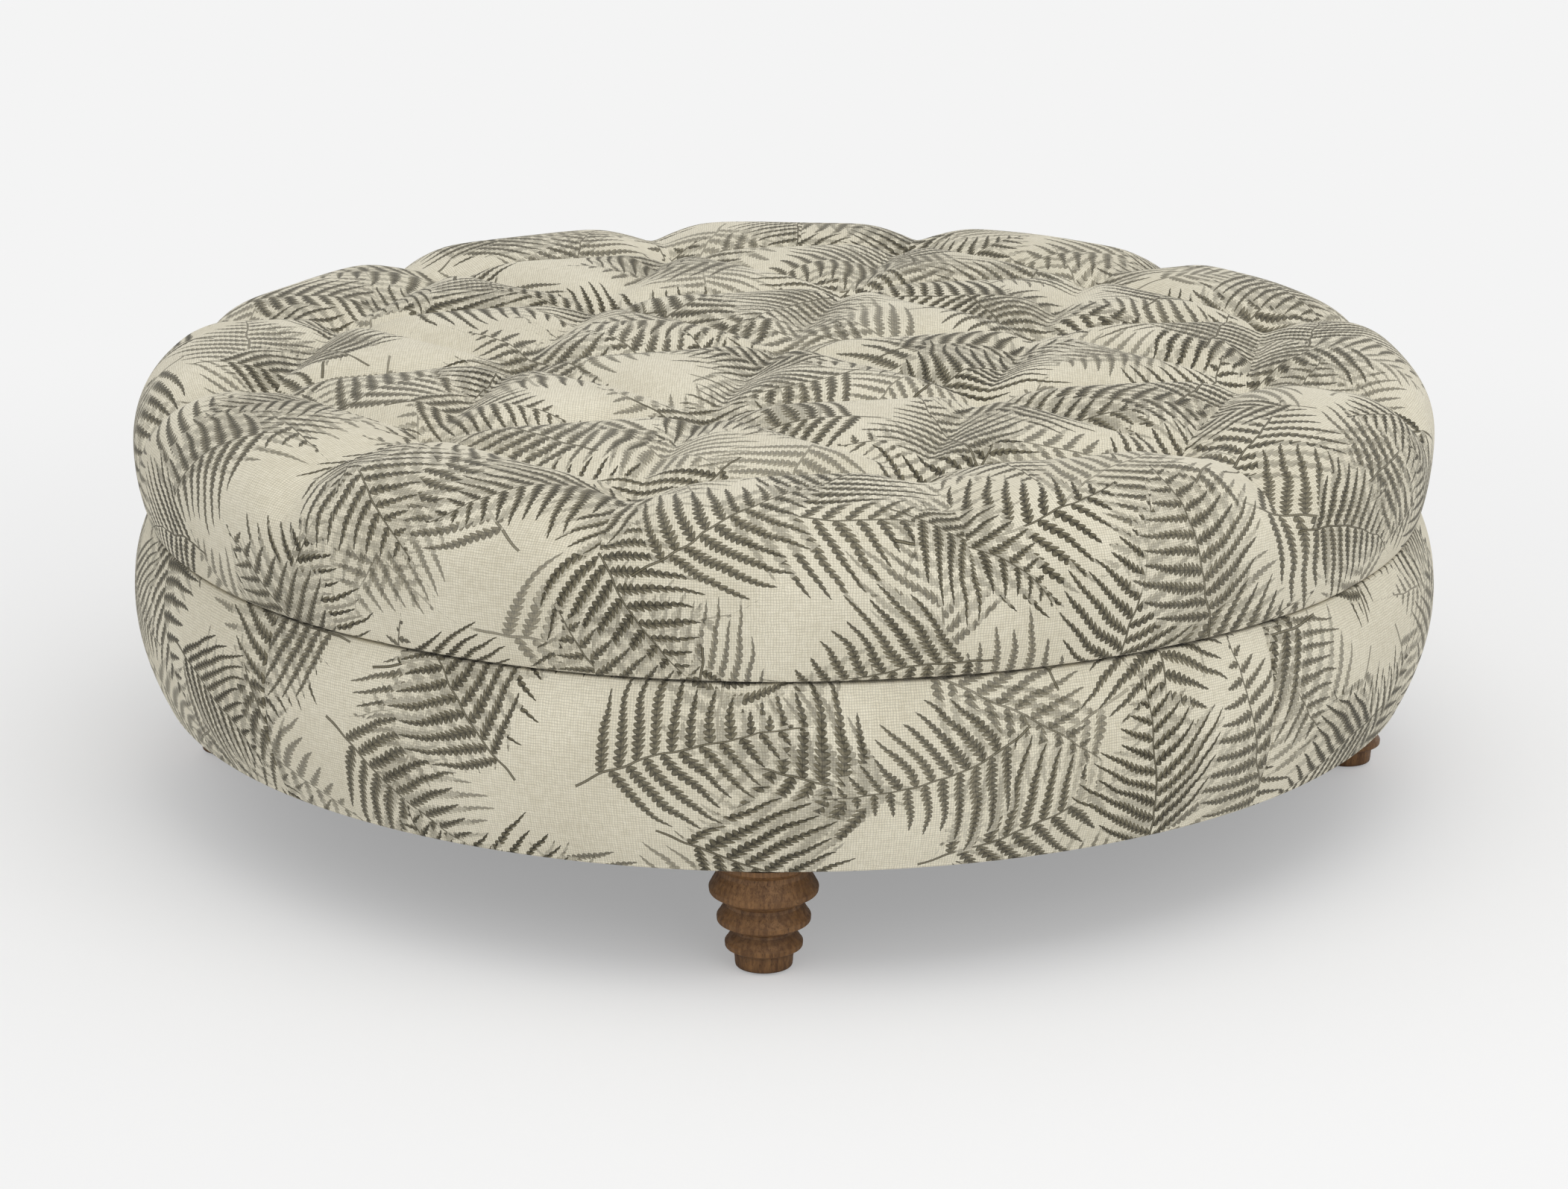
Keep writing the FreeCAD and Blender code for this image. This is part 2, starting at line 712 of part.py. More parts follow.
def tuft_hollow(radius, angle, inset):
    """The funnel that one tuft pulls in, with a small flat at its bottom."""
    lift = number("hollow_lift")
    spread = number("tuft_spread")
    low, middle, rim = hollow_side(spread, number("tuft_depth") + lift, inset, number("tuft_flat"))
    over = number("tuft_depth")
    edges = [
        line(Vector(0, 0, low.z), low),
        Part.Arc(low, middle, rim).toShape(),
        line(rim, Vector(spread, 0, over)),
        line(Vector(spread, 0, over), Vector(0, 0, over)),
        line(Vector(0, 0, over), Vector(0, 0, low.z)),
    ]
    hollow = turned(edges)
    hollow.translate(polar(radius, angle, crown_level(radius) + lift))
    return hollow


def crease_face(spread, depth, inset, over):
    """A trough's section, with a crease at its bottom and its rims level at 0."""
    low, middle, rim = hollow_side(spread, depth, inset)
    far_rim = Vector(-rim.x, 0, rim.z)
    far_middle = Vector(-middle.x, 0, middle.z)
    edges = [
        Part.Arc(low, middle, rim).toShape(),
        line(rim, Vector(rim.x, 0, over)),
        line(Vector(rim.x, 0, over), Vector(-rim.x, 0, over)),
        line(Vector(-rim.x, 0, over), far_rim),
        Part.Arc(far_rim, far_middle, low).toShape(),
    ]
    return Part.Face(Part.Wire(edges))


def valley_between(first, second, inset):
    """The trough between two tufts, each given as (radius, angle)."""
    lift = number("hollow_lift")
    start = polar(*first, crown_level(first[0]) + lift)
    along = polar(*second, crown_level(second[0]) + lift) - start
    over = number("tuft_depth")
    section = crease_face(number("valley_spread"), number("valley_depth") + lift, inset, over)
    trough = section.extrude(Vector(0, along.Length, 0))
    place = Placement(start, Rotation(Vector(), along, UP, "YZX"))
    return trough.transformed(place.toMatrix())


def pleat_path():
    """The circle that a pleat's crease follows, as (radius of its centre, level, bend)."""
    bend = number("pleat_bend")
    level = number(f"{PAD_TOP} - pleat_top_depth") - bend
    fade = number(f"{GIRTH_LEVEL} - pleat_foot_drop") - level
    return number("pad_radius") - math.sqrt(bend**2 - fade**2), level, bend


def pleat_at(radius, angle, inset):
    """The trough from a tuft over the shoulder to where it fades below the girth."""
    reach, level, bend = pleat_path()
    depth = number("pleat_depth")
    section = crease_face(number("pleat_spread"), depth, inset, depth)
    section.translate(Vector(0, 0, bend + depth))
    start = math.degrees(math.asin((radius - reach) / bend))
    section.rotate(Vector(), Vector(1, 0, 0), start)
    swept = section.revolve(Vector(), Vector(1, 0, 0), 100 - start)
    place = Placement(polar(reach, angle, level), Rotation(UP, angle))
    return swept.transformed(place.toMatrix())


def pad_wedge(inset):
    """One wedge of the pad's form, drawn in by the inset."""
    arcs, groove, top = pad_side(inset)
    floor = Vector(0, 0, groove.z)
    wedge = wedge_of(arcs + [line(top, floor), line(floor, groove)])
    turn = number("tuft_turn")
    middle = (0.0, turn)
    inner = (number("tuft_pitch"), turn)
    inner_next = (number("tuft_pitch"), turn + 2 * WEDGE)
    between = (number("tuft_between_circle"), turn + WEDGE)
    outer = (number("tuft_outer_circle"), turn)
    tools = [tuft_hollow(*place, inset) for place in (middle, inner, between, outer)]
    pairs = [(middle, inner), (inner, between), (inner, outer), (between, outer), (inner, inner_next)]
    tools += [valley_between(first, second, inset) for first, second in pairs]
    tools += [pleat_at(*place, inset) for place in (outer, between)]
    for tool in tools:
        wedge = wedge.cut(tool)
    return wedge


def on_plane(face, angle):
    """Whether the face lies in the upright plane through the centre line at that angle."""
    across = polar(1, angle + 90)
    centre = face.CenterOfMass
    flat = isinstance(face.Surface, Part.Plane)
    return flat and abs(centre.dot(across)) < 1e-4 and abs(face.normalAt(0, 0).dot(across)) > 0.999


def skin_of(wedge):
    """The wedge's faces without the two that it was cut out by and without its underside."""
    turn = number("tuft_turn")
    level = number(DECK_TOP)
    kept = []
    for face in wedge.Faces:
        cut_side = on_plane(face, turn) or on_plane(face, turn + WEDGE)
        underside = face.BoundBox.ZMax < level + 1e-6
        if not cut_side and not underside:
            kept.append(face)
    return kept


def sector(outer, inner, level):
    """A flat ring's part within one wedge."""
    turn = number("tuft_turn")
    angles = (turn, turn + WEDGE / 2, turn + WEDGE)
    near = [polar(inner, angle, level) for angle in angles]
    far = [polar(outer, angle, level) for angle in angles]
    edges = [Part.Arc(*far).toShape(), line(far[2], near[2])]
    edges += [Part.Arc(*near[::-1]).toShape(), line(near[0], far[0])]
    return Part.Face(Part.Wire(edges))


def all_round(faces):
    """One closed solid from a wedge's faces, mirrored and repeated round the centre line."""
    across = polar(1, number("tuft_turn") + WEDGE + 90)
    pair = faces + [face.mirror(Vector(), across) for face in faces]
    every = []
    for step in range(360 // (2 * WEDGE)):
        turn = Placement(Vector(), Rotation(UP, 2 * WEDGE * step)).toMatrix()
        every += [face.transformed(turn) for face in pair]
    shell = Part.makeCompound(every)
    shell.sewShape(SEW_TOLERANCE)
    solid = Part.Solid(shell.Shells[0])
    if solid.Volume < 0:
        solid.reverse()
    return solid


def foam_outline():
    """The foam slab's side and top: drawn in at its foot and cut away under the pleats."""
    side = number("pad_radius - cover_thick - batting_thick")
    foot = Vector(number("groove_radius - cover_thick - batting_least"), 0, number(DECK_TOP))
    girth = Vector(side, 0, number(GIRTH_LEVEL))
    reach, level, bend = pleat_path()
    bend -= number("cover_thick + batting_least")
    top = crown_level(number("tuft_outer_circle")) - number("tuft_depth + cover_thick + batting_least")
    brow = Vector(side, 0, level + math.sqrt(bend**2 - (side - reach) ** 2))
    edge = Vector(reach + math.sqrt(bend**2 - (top - level) ** 2), 0, top)
    lean = (math.atan2(brow.z - level, side - reach) + math.atan2(top - level, edge.x - reach)) / 2
    shoulder = Vector(reach + bend * math.cos(lean), 0, level + bend * math.sin(lean))
    if foot.x < side:
        lower = Part.Arc(foot, arc_from_girth(girth, foot), girth).toShape()
    else:
        lower = line(foot, girth)
    arcs = [lower, line(girth, brow), Part.Arc(brow, shoulder, edge).toShape()]
    return arcs, foot, edge


def make_pad():
    """The foam slab, the batting and the cover of the pad."""
    level = number(DECK_TOP)
    cloth = number("cover_thick")
    groove = number("groove_radius")
    centre = Vector(0, 0, level)

    arcs, foot, edge = foam_outline()
    foam_top = Vector(0, 0, edge.z)
    foam_side = arcs + [line(edge, foam_top), line(foam_top, centre), line(centre, foot)]
    bore = rod(number("twine_radius"), level, number(PAD_TOP))
    bores = [bore.translated(place) for place in twine_spots()]
    foam = turned(foam_side).cut(Part.Compound(bores))

    outside = skin_of(pad_wedge(0))
    inner_wedge = pad_wedge(cloth)
    inside = skin_of(inner_wedge)
    cover = all_round(outside + inside + [sector(groove, groove - cloth, level)])

    batting_wedge = inner_wedge.cut(wedge_of(foam_side)).cut(Part.Compound(bores))
    batting = all_round(skin_of(batting_wedge) + [sector(groove - cloth, foot.x, level)])
    feature_of("pad_foam", foam)
    feature_of("pad_batting", batting)
    feature_of("pad_cover", cover)


def twine_spots():
    """Where the twines stand, as points at height 0."""
    return [polar(radius, angle) for radius, angle in tuft_places()]


# Tufting: each twine goes from a knot under its washer, through deck, foam and batting,
# to the cover. The middle one passes the rails, so its washer lies under them.
def make_tufting():
    """The twines and the washers that they are knotted over, as one group each."""
    thick = number("washer_thick")
    twines = []
    washers = []
    for radius, angle in tuft_places():
        under = number(DECK_UNDER) - (number("rail_depth") if radius == 0 else 0)
        dimple = crown_level(radius) - number("tuft_depth + cover_thick")
        knot_top = under - thick
        strand = rod(number("twine_radius"), knot_top, dimple)
        knot = rod(number("knot_radius"), knot_top - number("knot_height"), knot_top)
        spot = polar(radius, angle)
        twines.append(strand.fuse(knot).removeSplitter().translated(spot))
        washer = rod(number("washer_radius"), knot_top, under)
        washers.append(washer.cut(rod(number("twine_radius"), knot_top, under)).translated(spot))
    feature_of("tuft_twines", Part.Compound(twines))
    feature_of("tuft_washers", Part.Compound(washers))


# Fasteners: a bolt and a nut for each foot, screws for the boards and rails, and staples
# round the dust cover
def screw(length):
    """A flat-headed wood screw: its head's top at 0 and its shank pointing down."""
    head = rod(number("screw_head_radius"), -number("screw_head_thick"), 0)
    shank = rod(number("screw_radius"), -length, -number("screw_head_thick"))
    return head.fuse(shank)


def make_screws():
    """The deck's screws, the ring's screws and the rails' screws, as one group each."""
    spots = [Vector(number(x), number(y), 0) for x, y in screw_spots()]
    turns = [Rotation(UP, angle) for angle in leg_angles]
    every = [turn.multVec(spot) for turn in turns for spot in spots]
    down = screw(number("deck_thick + screw_bite"))
    up = screw(number("ring_thick + screw_bite"))
    over = Rotation(Vector(1, 0, 0), 180)
    deck_places = [Placement(spot + Vector(0, 0, number(DECK_TOP)), Rotation()) for spot in every]
    ring_places = [Placement(spot + Vector(0, 0, number(RING_UNDER)), over) for spot in every]
    feature_of("deck_screws", copies(down, deck_places))
    feature_of("ring_screws", copies(up, ring_places))
    level = screw(number(RAIL_SCREW_LENGTH))
    outward = Rotation(Vector(1, 0, 0), 90)
    rail_places = []
    for turn in turns:
        for height in RAIL_SCREW_LEVELS:
            spot = Vector(0, -number("leg_block_outer"), number(f"{RING_TOP} + {height}"))
            rail_places.append(Placement(turn.multVec(spot), turn * outward))
    feature_of("rail_screws", copies(level, rail_places))


def make_bolts():
    """The bolts that hold the feet and the flanged nuts that they turn into."""
    top = number(f"{RING_TOP} + bolt_above_ring")
    bolt = rod(number("bolt_radius"), number("foot_height - bolt_in_foot"), top)
    flange_top = number(RING_TOP)
    flange_low = flange_top - number("nut_flange_thick")
    barrel_low = flange_low - number("nut_barrel_length")
    nut = rod(number("nut_flange_radius"), flange_low, flange_top)
    nut = nut.fuse(rod(number("nut_barrel_radius"), barrel_low, flange_low))
    nut = nut.cut(rod(number("bolt_radius"), barrel_low, flange_top))
    places = [at_polar(number("foot_circle"), angle) for angle in leg_angles]
    feature_of("foot_bolts", copies(bolt, places))
    feature_of("foot_nuts", copies(nut, places))


def staple_places():
    """The staples round the dust cover, evenly spaced and clear of the feet."""
    count = int(number("staple_count"))
    step = 360 / count
    return [at_polar(number("staple_circle"), step * (index + 0.5)) for index in range(count)]


def staple_legs(low, high):
    """One staple's two legs between two heights, at the centre line."""
    wire = number("staple_wire")
    half = number("staple_width") / 2
    left = Part.makeBox(wire, wire, high - low, Vector(-half, -wire / 2, low))
    right = Part.makeBox(wire, wire, high - low, Vector(half - wire, -wire / 2, low))
    return left, right


def make_staples():
    """The staples through the dust cover and the band cover's edge into the ring."""
    wire = number("staple_wire")
    width = number("staple_width")
    under = number("foot_height")
    left, right = staple_legs(under, under + number("staple_leg"))
    crown = Part.makeBox(width, wire, wire, Vector(-width / 2, -wire / 2, under - wire))
    feature_of("dust_cover_staples", copies(crown.fuse([left, right]).removeSplitter(), staple_places()))


def staple_slots(body, name, height, depth):
    """Slots for all the staples' legs, cut up into a body from that height."""
    wire = "staple_wire"
    slots = sketch_on(body, name, height=height)
    turn = "(180 / staple_count)"
    for side in ("1", "-1"):
        middle = f"{side} * (staple_width - {wire}) / 2"
        corners = []
        for along, across in ((-1, -1), (1, -1), (1, 1), (-1, 1)):
            x = f"({middle} + {along} * {wire} / 2)"
            y = f"({across} * {wire} / 2 - staple_circle)"
            turned_x = f"{x} * cos({turn}) - {y} * sin({turn})"
            turned_y = f"{x} * sin({turn}) + {y} * cos({turn})"
            corners.append((turned_x, turned_y))
        add_outline(slots, corners)
    pattern_of(body, pocket_of(body, slots, depth), int(number("staple_count")))


def make_dust_cover():
    """The thin woven sheet stapled under the drum, with holes for the feet's bolts."""
    body = new_body("dust_cover")
    disc = sketch_on(body, "dust_cover_outline")
    add_circle(disc, "dust_cover_radius")
    pad_of(body, disc, "dust_cover_thick")
    hole = sketch_on(body, "dust_cover_bolt_hole")
    add_circle(hole, "bolt_radius", "0", "-foot_circle")
    pattern_of(body, pocket_of(body, hole, "dust_cover_thick"), QUARTERS)
    staple_slots(body, "dust_cover_staple_slots", "0", "dust_cover_thick")
    raise_to(body, "foot_height")


make_base_ring()
make_deck()
for name, angle in zip(LEG_NAMES, leg_angles):
    make_leg_block(name, angle)
for index, angle in enumerate(post_angles, start=1):
    make_block(f"post_{index}", angle, "post", "post_circle", ("0",))
make_rail("rail_lower", 0, "rail_depth / 2")
make_rail("rail_upper", 90, "0")
make_hoop()
make_tack_strip()
make_band_foam()
make_band_cover()
make_pad()
make_tufting()
make_dust_cover()
for name, angle in zip(LEG_NAMES, leg_angles):
    make_foot(name, angle)
    make_glide(name, angle)
make_bolts()
make_screws()
make_staples()
doc.recompute()


# Every object is sound before anything is written
for item in doc.Objects:
    if "Invalid" in item.State or "Error" in item.State:
        raise RuntimeError(f"{item.Label} failed: {item.State}")

pieces = [item for item in doc.Objects if item.TypeId in ("PartDesign::Body", "Part::Feature")]
for piece in pieces:
    if piece.Shape.isNull() or not piece.Shape.isValid() or piece.Shape.Volume <= 0:
        raise RuntimeError(f"{piece.Label} has no sound shape")

os.makedirs("parts", exist_ok=True)
for piece in pieces:
    piece.Shape.exportStep(f"parts/{piece.Label}.step")
print(f"{len(pieces)} pieces written")
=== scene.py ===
import math

import bpy
import numpy as np
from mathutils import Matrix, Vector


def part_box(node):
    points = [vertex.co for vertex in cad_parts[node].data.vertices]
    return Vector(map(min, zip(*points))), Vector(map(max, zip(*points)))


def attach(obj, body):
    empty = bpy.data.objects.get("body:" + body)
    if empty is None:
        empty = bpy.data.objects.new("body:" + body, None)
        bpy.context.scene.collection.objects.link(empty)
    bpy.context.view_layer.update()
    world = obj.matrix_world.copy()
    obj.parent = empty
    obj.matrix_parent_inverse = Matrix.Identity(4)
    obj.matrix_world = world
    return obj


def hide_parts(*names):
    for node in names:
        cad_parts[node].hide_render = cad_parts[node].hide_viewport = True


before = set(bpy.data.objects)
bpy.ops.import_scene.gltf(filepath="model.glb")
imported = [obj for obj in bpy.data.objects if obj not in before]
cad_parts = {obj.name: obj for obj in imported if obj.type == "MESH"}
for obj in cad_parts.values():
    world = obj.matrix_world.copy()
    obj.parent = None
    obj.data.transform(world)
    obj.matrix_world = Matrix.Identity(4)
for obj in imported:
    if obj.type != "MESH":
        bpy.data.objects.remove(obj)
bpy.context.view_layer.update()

MM = 0.001


# The timber drum is birch plywood above and below, softwood blocks, posts and rails between
# them, and a thin hardboard hoop bent round the outside. All of it is sawn, unfinished and
# screwed together, and it shows only when the dust cover is off.
class Signal:
    """A number or a vector that flows through a node tree, with the sums done on it as nodes."""

    def __init__(self, tree, socket):
        self.tree = tree
        self.socket = socket

    def sum(self, operation, *others):
        """The result of one mathematics node fed by this signal and the others."""
        node = self.tree.nodes.new("ShaderNodeMath")
        node.operation = operation
        for slot, value in zip(node.inputs, (self, *others)):
            feed(self.tree, slot, value)
        return Signal(self.tree, node.outputs[0])

    def __add__(self, other):
        return self.sum("ADD", other)

    def __radd__(self, other):
        return self.sum("ADD", other)

    def __sub__(self, other):
        return self.sum("SUBTRACT", other)

    def __rsub__(self, other):
        return (self * -1.0) + other

    def __mul__(self, other):
        return self.sum("MULTIPLY", other)

    def __rmul__(self, other):
        return self.sum("MULTIPLY", other)

    def __truediv__(self, other):
        return self.sum("DIVIDE", other)

    def ramp(self, low, high):
        """0 below low, 1 above high and a smooth rise between them."""
        node = self.tree.nodes.new("ShaderNodeMapRange")
        node.interpolation_type = "SMOOTHSTEP"
        for label, value in (("Value", self), ("From Min", low), ("From Max", high)):
            feed(self.tree, node.inputs[label], value)
        return Signal(self.tree, node.outputs["Result"])

    def clamp(self):
        """The signal held between 0 and 1."""
        node = self.tree.nodes.new("ShaderNodeClamp")
        feed(self.tree, node.inputs["Value"], self)
        return Signal(self.tree, node.outputs["Result"])


def feed(tree, slot, value):
    """Links a signal or a socket to the slot, or writes a plain value into it."""
    if isinstance(value, Signal):
        tree.links.new(value.socket, slot)
    elif isinstance(value, bpy.types.NodeSocket):
        tree.links.new(value, slot)
    else:
        slot.default_value = value


def node_of(tree, kind, out=0, settings=None, **inputs):
    """A new node with its settings and inputs, given by name with _ for each space."""
    node = tree.nodes.new(kind)
    for key, value in (settings or {}).items():
        setattr(node, key, value)
    for key, value in inputs.items():
        feed(tree, node.inputs[key.replace("_", " ")], value)
    return Signal(tree, node.outputs[out])


def vector_of(tree, x, y, z=0.0):
    """A vector with those three parts."""
    return node_of(tree, "ShaderNodeCombineXYZ", X=x, Y=y, Z=z)


def parts_of(tree, vector):
    """A vector's three parts."""
    node = tree.nodes.new("ShaderNodeSeparateXYZ")
    feed(tree, node.inputs[0], vector)
    return [Signal(tree, socket) for socket in node.outputs]


def vector_sum(tree, operation, first, *others, **inputs):
    """The result of one vector mathematics node fed by those vectors."""
    node = tree.nodes.new("ShaderNodeVectorMath")
    node.operation = operation
    for slot, value in zip(node.inputs, (first, *others)):
        feed(tree, slot, value)
    for key, value in inputs.items():
        feed(tree, node.inputs[key], value)
    return Signal(tree, node.outputs["Vector"])


def blend_of(tree, share, first, second):
    """The first colour at share 0 and the second at share 1."""
    node = tree.nodes.new("ShaderNodeMix")
    node.data_type = "RGBA"
    feed(tree, node.inputs[0], share)
    for slot, value in ((node.inputs[6], first), (node.inputs[7], second)):
        feed(tree, slot, (*value, 1.0) if isinstance(value, tuple) and len(value) == 3 else value)
    return Signal(tree, node.outputs[2])


def new_group(name, takes, gives):
    """An empty node group with those inputs and outputs, each (name, kind).

    Gives its tree, its inputs by name and the node that takes its outputs.
    """
    tree = bpy.data.node_groups.new(name, "ShaderNodeTree")
    for label, kind in takes:
        tree.interface.new_socket(label, in_out="INPUT", socket_type=f"NodeSocket{kind}")
    for label, kind in gives:
        tree.interface.new_socket(label, in_out="OUTPUT", socket_type=f"NodeSocket{kind}")
    entry = tree.nodes.new("NodeGroupInput")
    leaving = tree.nodes.new("NodeGroupOutput")
    return tree, {socket.name: Signal(tree, socket) for socket in entry.outputs if socket.name}, leaving


def use_group(tree, group, **inputs):
    """A node that runs the group, as its outputs by name."""
    node = tree.nodes.new("ShaderNodeGroup")
    node.node_tree = group
    for key, value in inputs.items():
        feed(tree, node.inputs[key.replace("_", " ")], value)
    return {socket.name: Signal(tree, socket) for socket in node.outputs}


def new_material(name, **constants):
    """A material with a Principled shader and those constants on its sockets."""
    material = bpy.data.materials.new(name)
    material.use_nodes = True
    tree = material.node_tree
    shader = tree.nodes["Principled BSDF"]
    for key, value in constants.items():
        shader.inputs[key.replace("_", " ")].default_value = value
    return material, tree, shader


def bump(tree, shader, height, distance, strength=1.0):
    """Feeds the height to the shader's normal as a bump that deep, in metres."""
    normal = node_of(tree, "ShaderNodeBump", Height=height, Distance=distance, Strength=strength)
    feed(tree, shader.inputs["Normal"], normal)


def dress(name, material):
    """Gives a CAD node its material."""
    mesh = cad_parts[name].data
    mesh.materials.clear()
    mesh.materials.append(material)


def wood_grain_group():
    """Grain lines drawn out along the third axis, with pores and slow changes of tone."""
    tree, takes, gives = new_group(
        "wood_grain",
        [("Place", "Vector"), ("Lines", "Float"), ("Length", "Float")],
        [("Tone", "Float"), ("Pores", "Float")],
    )
    x, y, z = parts_of(tree, takes["Place"])
    drawn = vector_of(tree, x * takes["Lines"], y * takes["Lines"], z * takes["Length"])
    rings = node_of(tree, "ShaderNodeTexNoise", Vector=drawn, Scale=1.0, Detail=4.0, Distortion=0.4)
    slow = node_of(tree, "ShaderNodeTexNoise", Vector=drawn, Scale=0.18, Detail=2.0)
    fine = vector_of(tree, x * takes["Lines"] * 7.0, y * takes["Lines"] * 7.0, z * takes["Length"] * 2.5)
    pores = node_of(tree, "ShaderNodeTexNoise", Vector=fine, Scale=1.0, Detail=2.0)
    tone = rings.ramp(0.32, 0.68) * 0.7 + slow.ramp(0.3, 0.7) * 0.3
    feed(tree, gives.inputs["Tone"], tone)
    feed(tree, gives.inputs["Pores"], pores.ramp(0.56, 0.70))
    return tree


WOOD_GRAIN = wood_grain_group()


def sawn_wood(name, pale, dark, turn, lines=60.0, length=4.0):
    """Unfinished sawn wood, its grain turned from upright by the rotation."""
    material, tree, shader = new_material(name, Roughness=0.78)
    place = node_of(tree, "ShaderNodeTexCoord", out=3)
    turned = node_of(tree, "ShaderNodeMapping", Vector=place, Rotation=turn)
    grain = use_group(tree, WOOD_GRAIN, Place=turned, Lines=lines, Length=length)
    colour = blend_of(tree, grain["Tone"], pale, dark)
    feed(tree, shader.inputs["Base Color"], blend_of(tree, grain["Pores"] * 0.35, colour, dark))
    bump(tree, shader, grain["Tone"] * 0.6 - grain["Pores"] * 0.4, 0.0003)
    return material


UPRIGHT = (0.0, 0.0, 0.0)
ALONG_X = (0.0, math.pi / 2, 0.0)
ALONG_Y = (math.pi / 2, 0.0, 0.0)
SOFTWOOD = ((0.70, 0.55, 0.35), (0.54, 0.38, 0.21))
plywood = sawn_wood("plywood", (0.66, 0.50, 0.32), (0.50, 0.35, 0.20), ALONG_X, 34.0, 2.2)
upright_timber = sawn_wood("upright_timber", *SOFTWOOD, UPRIGHT)
timber_along_y = sawn_wood("timber_along_y", *SOFTWOOD, ALONG_Y)
timber_along_x = sawn_wood("timber_along_x", *SOFTWOOD, ALONG_X)
hardboard = sawn_wood("hardboard", (0.34, 0.23, 0.14), (0.25, 0.16, 0.09), UPRIGHT, 150.0, 140.0)
card = sawn_wood("card", (0.55, 0.45, 0.33), (0.45, 0.36, 0.25), UPRIGHT, 300.0, 280.0)

LEGS = ("front", "right", "back", "left")
for name in ("base_ring", "deck_board"):
    dress(name, plywood)
for name in [f"leg_block_{leg}" for leg in LEGS] + [f"post_{index}" for index in range(1, 9)]:
    dress(name, upright_timber)
dress("rail_lower", timber_along_y)
dress("rail_upper", timber_along_x)
dress("side_hoop", hardboard)
dress("tack_strip", card)


# The fasteners are zinc-plated steel: wood screws, the feet's bolts and flanged nuts, the
# tufting washers and the staples. Each twine is waxed linen, knotted over its washer.
zinc, tree, shader = new_material("zinc_steel", Metallic=1.0)
place = node_of(tree, "ShaderNodeTexCoord", out=3)
spangle = node_of(tree, "ShaderNodeTexVoronoi", out=1, Vector=place, Scale=420.0)
cloud = node_of(tree, "ShaderNodeTexNoise", Vector=place, Scale=90.0, Detail=4.0)
shine = blend_of(tree, cloud.ramp(0.3, 0.7), (0.55, 0.55, 0.53), (0.68, 0.67, 0.62))
feed(tree, shader.inputs["Base Color"], blend_of(tree, 0.06, shine, spangle))
feed(tree, shader.inputs["Roughness"], cloud * 0.3 + 0.22)
bump(tree, shader, cloud, 0.0002)
for name in ("foot_bolts", "foot_nuts", "deck_screws", "ring_screws", "rail_screws", "tuft_washers"):
    dress(name, zinc)
dress("dust_cover_staples", zinc)

twine, tree, shader = new_material("waxed_twine", Roughness=0.6)
x, y, z = parts_of(tree, node_of(tree, "ShaderNodeTexCoord", out=3))
ply = ((z * 2600.0) + (x + y) * 1500.0).sum("SINE") * 0.5 + 0.5
feed(tree, shader.inputs["Base Color"], blend_of(tree, ply, (0.42, 0.36, 0.24), (0.72, 0.66, 0.52)))
bump(tree, shader, ply, 0.0004)
dress("tuft_twines", twine)


# The band round the drum is foam under printed linen: four panels sewn end to end midway
# between the feet, tacked into the groove at the top and turned in under the ring at the
# foot, where the fold is crisp. It is fullest above the middle.
COLUMN_COUNT = 720
SEAM_COLUMNS = 17
SEAM_REACH = 9.0 * MM
BAND_GIRTH_RISE = 95.0 * MM
FOLD_BEND = 3.5 * MM
SEAM_DEPTH = 1.7 * MM
SEAM_WIDTH = 1.8 * MM
PUCKER_REACH = 14.0 * MM
PUCKER_LENGTH = 3.2 * MM
BAND_FOOT_RADIUS = 589.5 * MM
FLANGE_WIDTH = 34.0 * MM
LINEN_THICK = 1.5 * MM
HOOP_CLEARANCE = 0.4 * MM
# How far the print of each panel is shifted along, so that no two panels are alike
PANEL_STEP = 3.71
# The lips of the band and the pad bulge past the hoop, and both cloths meet in the groove
GROOVE_SWELL = 21.0 * MM
LIP_INSET = 1.5 * MM
LIP_DROP = 1.5 * MM
GROOVE_DEPTH = 16.0 * MM
GROOVE_GAP = 0.1 * MM
# Each slow wave of the padding: its height, how many there are round the stool and its phase
BAND_WAVES = ((0.7, 5, 0.6), (0.5, 9, 2.1), (0.35, 17, 4.0))
BAND_UNEVENNESS = 0.8 * MM


def surface_object(name, points, faces, flat, material):
    """A smooth mesh of those points and faces, with flat cloth coordinates at each corner."""
    mesh = bpy.data.meshes.new(name)
    mesh.from_pydata(points.tolist(), [], [tuple(face) for face in faces])
    layer = mesh.uv_layers.new(name="Flat")
    layer.data.foreach_set("uv", np.ascontiguousarray(flat, np.float32).ravel())
    mesh.polygons.foreach_set("use_smooth", np.ones(len(mesh.polygons), bool))
    mesh.materials.append(material)
    mesh.update()
    made = bpy.data.objects.new(name, mesh)
    bpy.context.scene.collection.objects.link(made)
    return made


def grid_faces(rows, columns, wrap=False):
    """The quads of a grid stored row after row; wrap joins the last column to the first.

    They face whoever sees the rows follow one another upwards and the columns to the right.
    """
    across = columns if wrap else columns - 1
    row, column = np.meshgrid(np.arange(rows - 1), np.arange(across), indexing="ij")
    following = (column + 1) % columns
    corners = (row * columns + column, row * columns + following)
    corners += ((row + 1) * columns + following, (row + 1) * columns + column)
    return np.stack([corner.ravel() for corner in corners], axis=1)


def arc_from_upright(girth, end, count):
    """Points on the arc that leaves the girth upright and ends at the other point.

    Its bend is (a * a + b * b) / (2 * a) for an end that lies a inward and b up or down.
    """
    inward = girth[0] - end[0]
    rise = end[1] - girth[1]
    bend = (inward**2 + rise**2) / (2 * inward)
    angle = np.linspace(0, math.asin(abs(rise) / bend), count)
    out = girth[0] - bend * (1 - np.cos(angle))
    up = girth[1] + math.copysign(bend, rise) * np.sin(angle)
    return np.stack([out, up], axis=1)


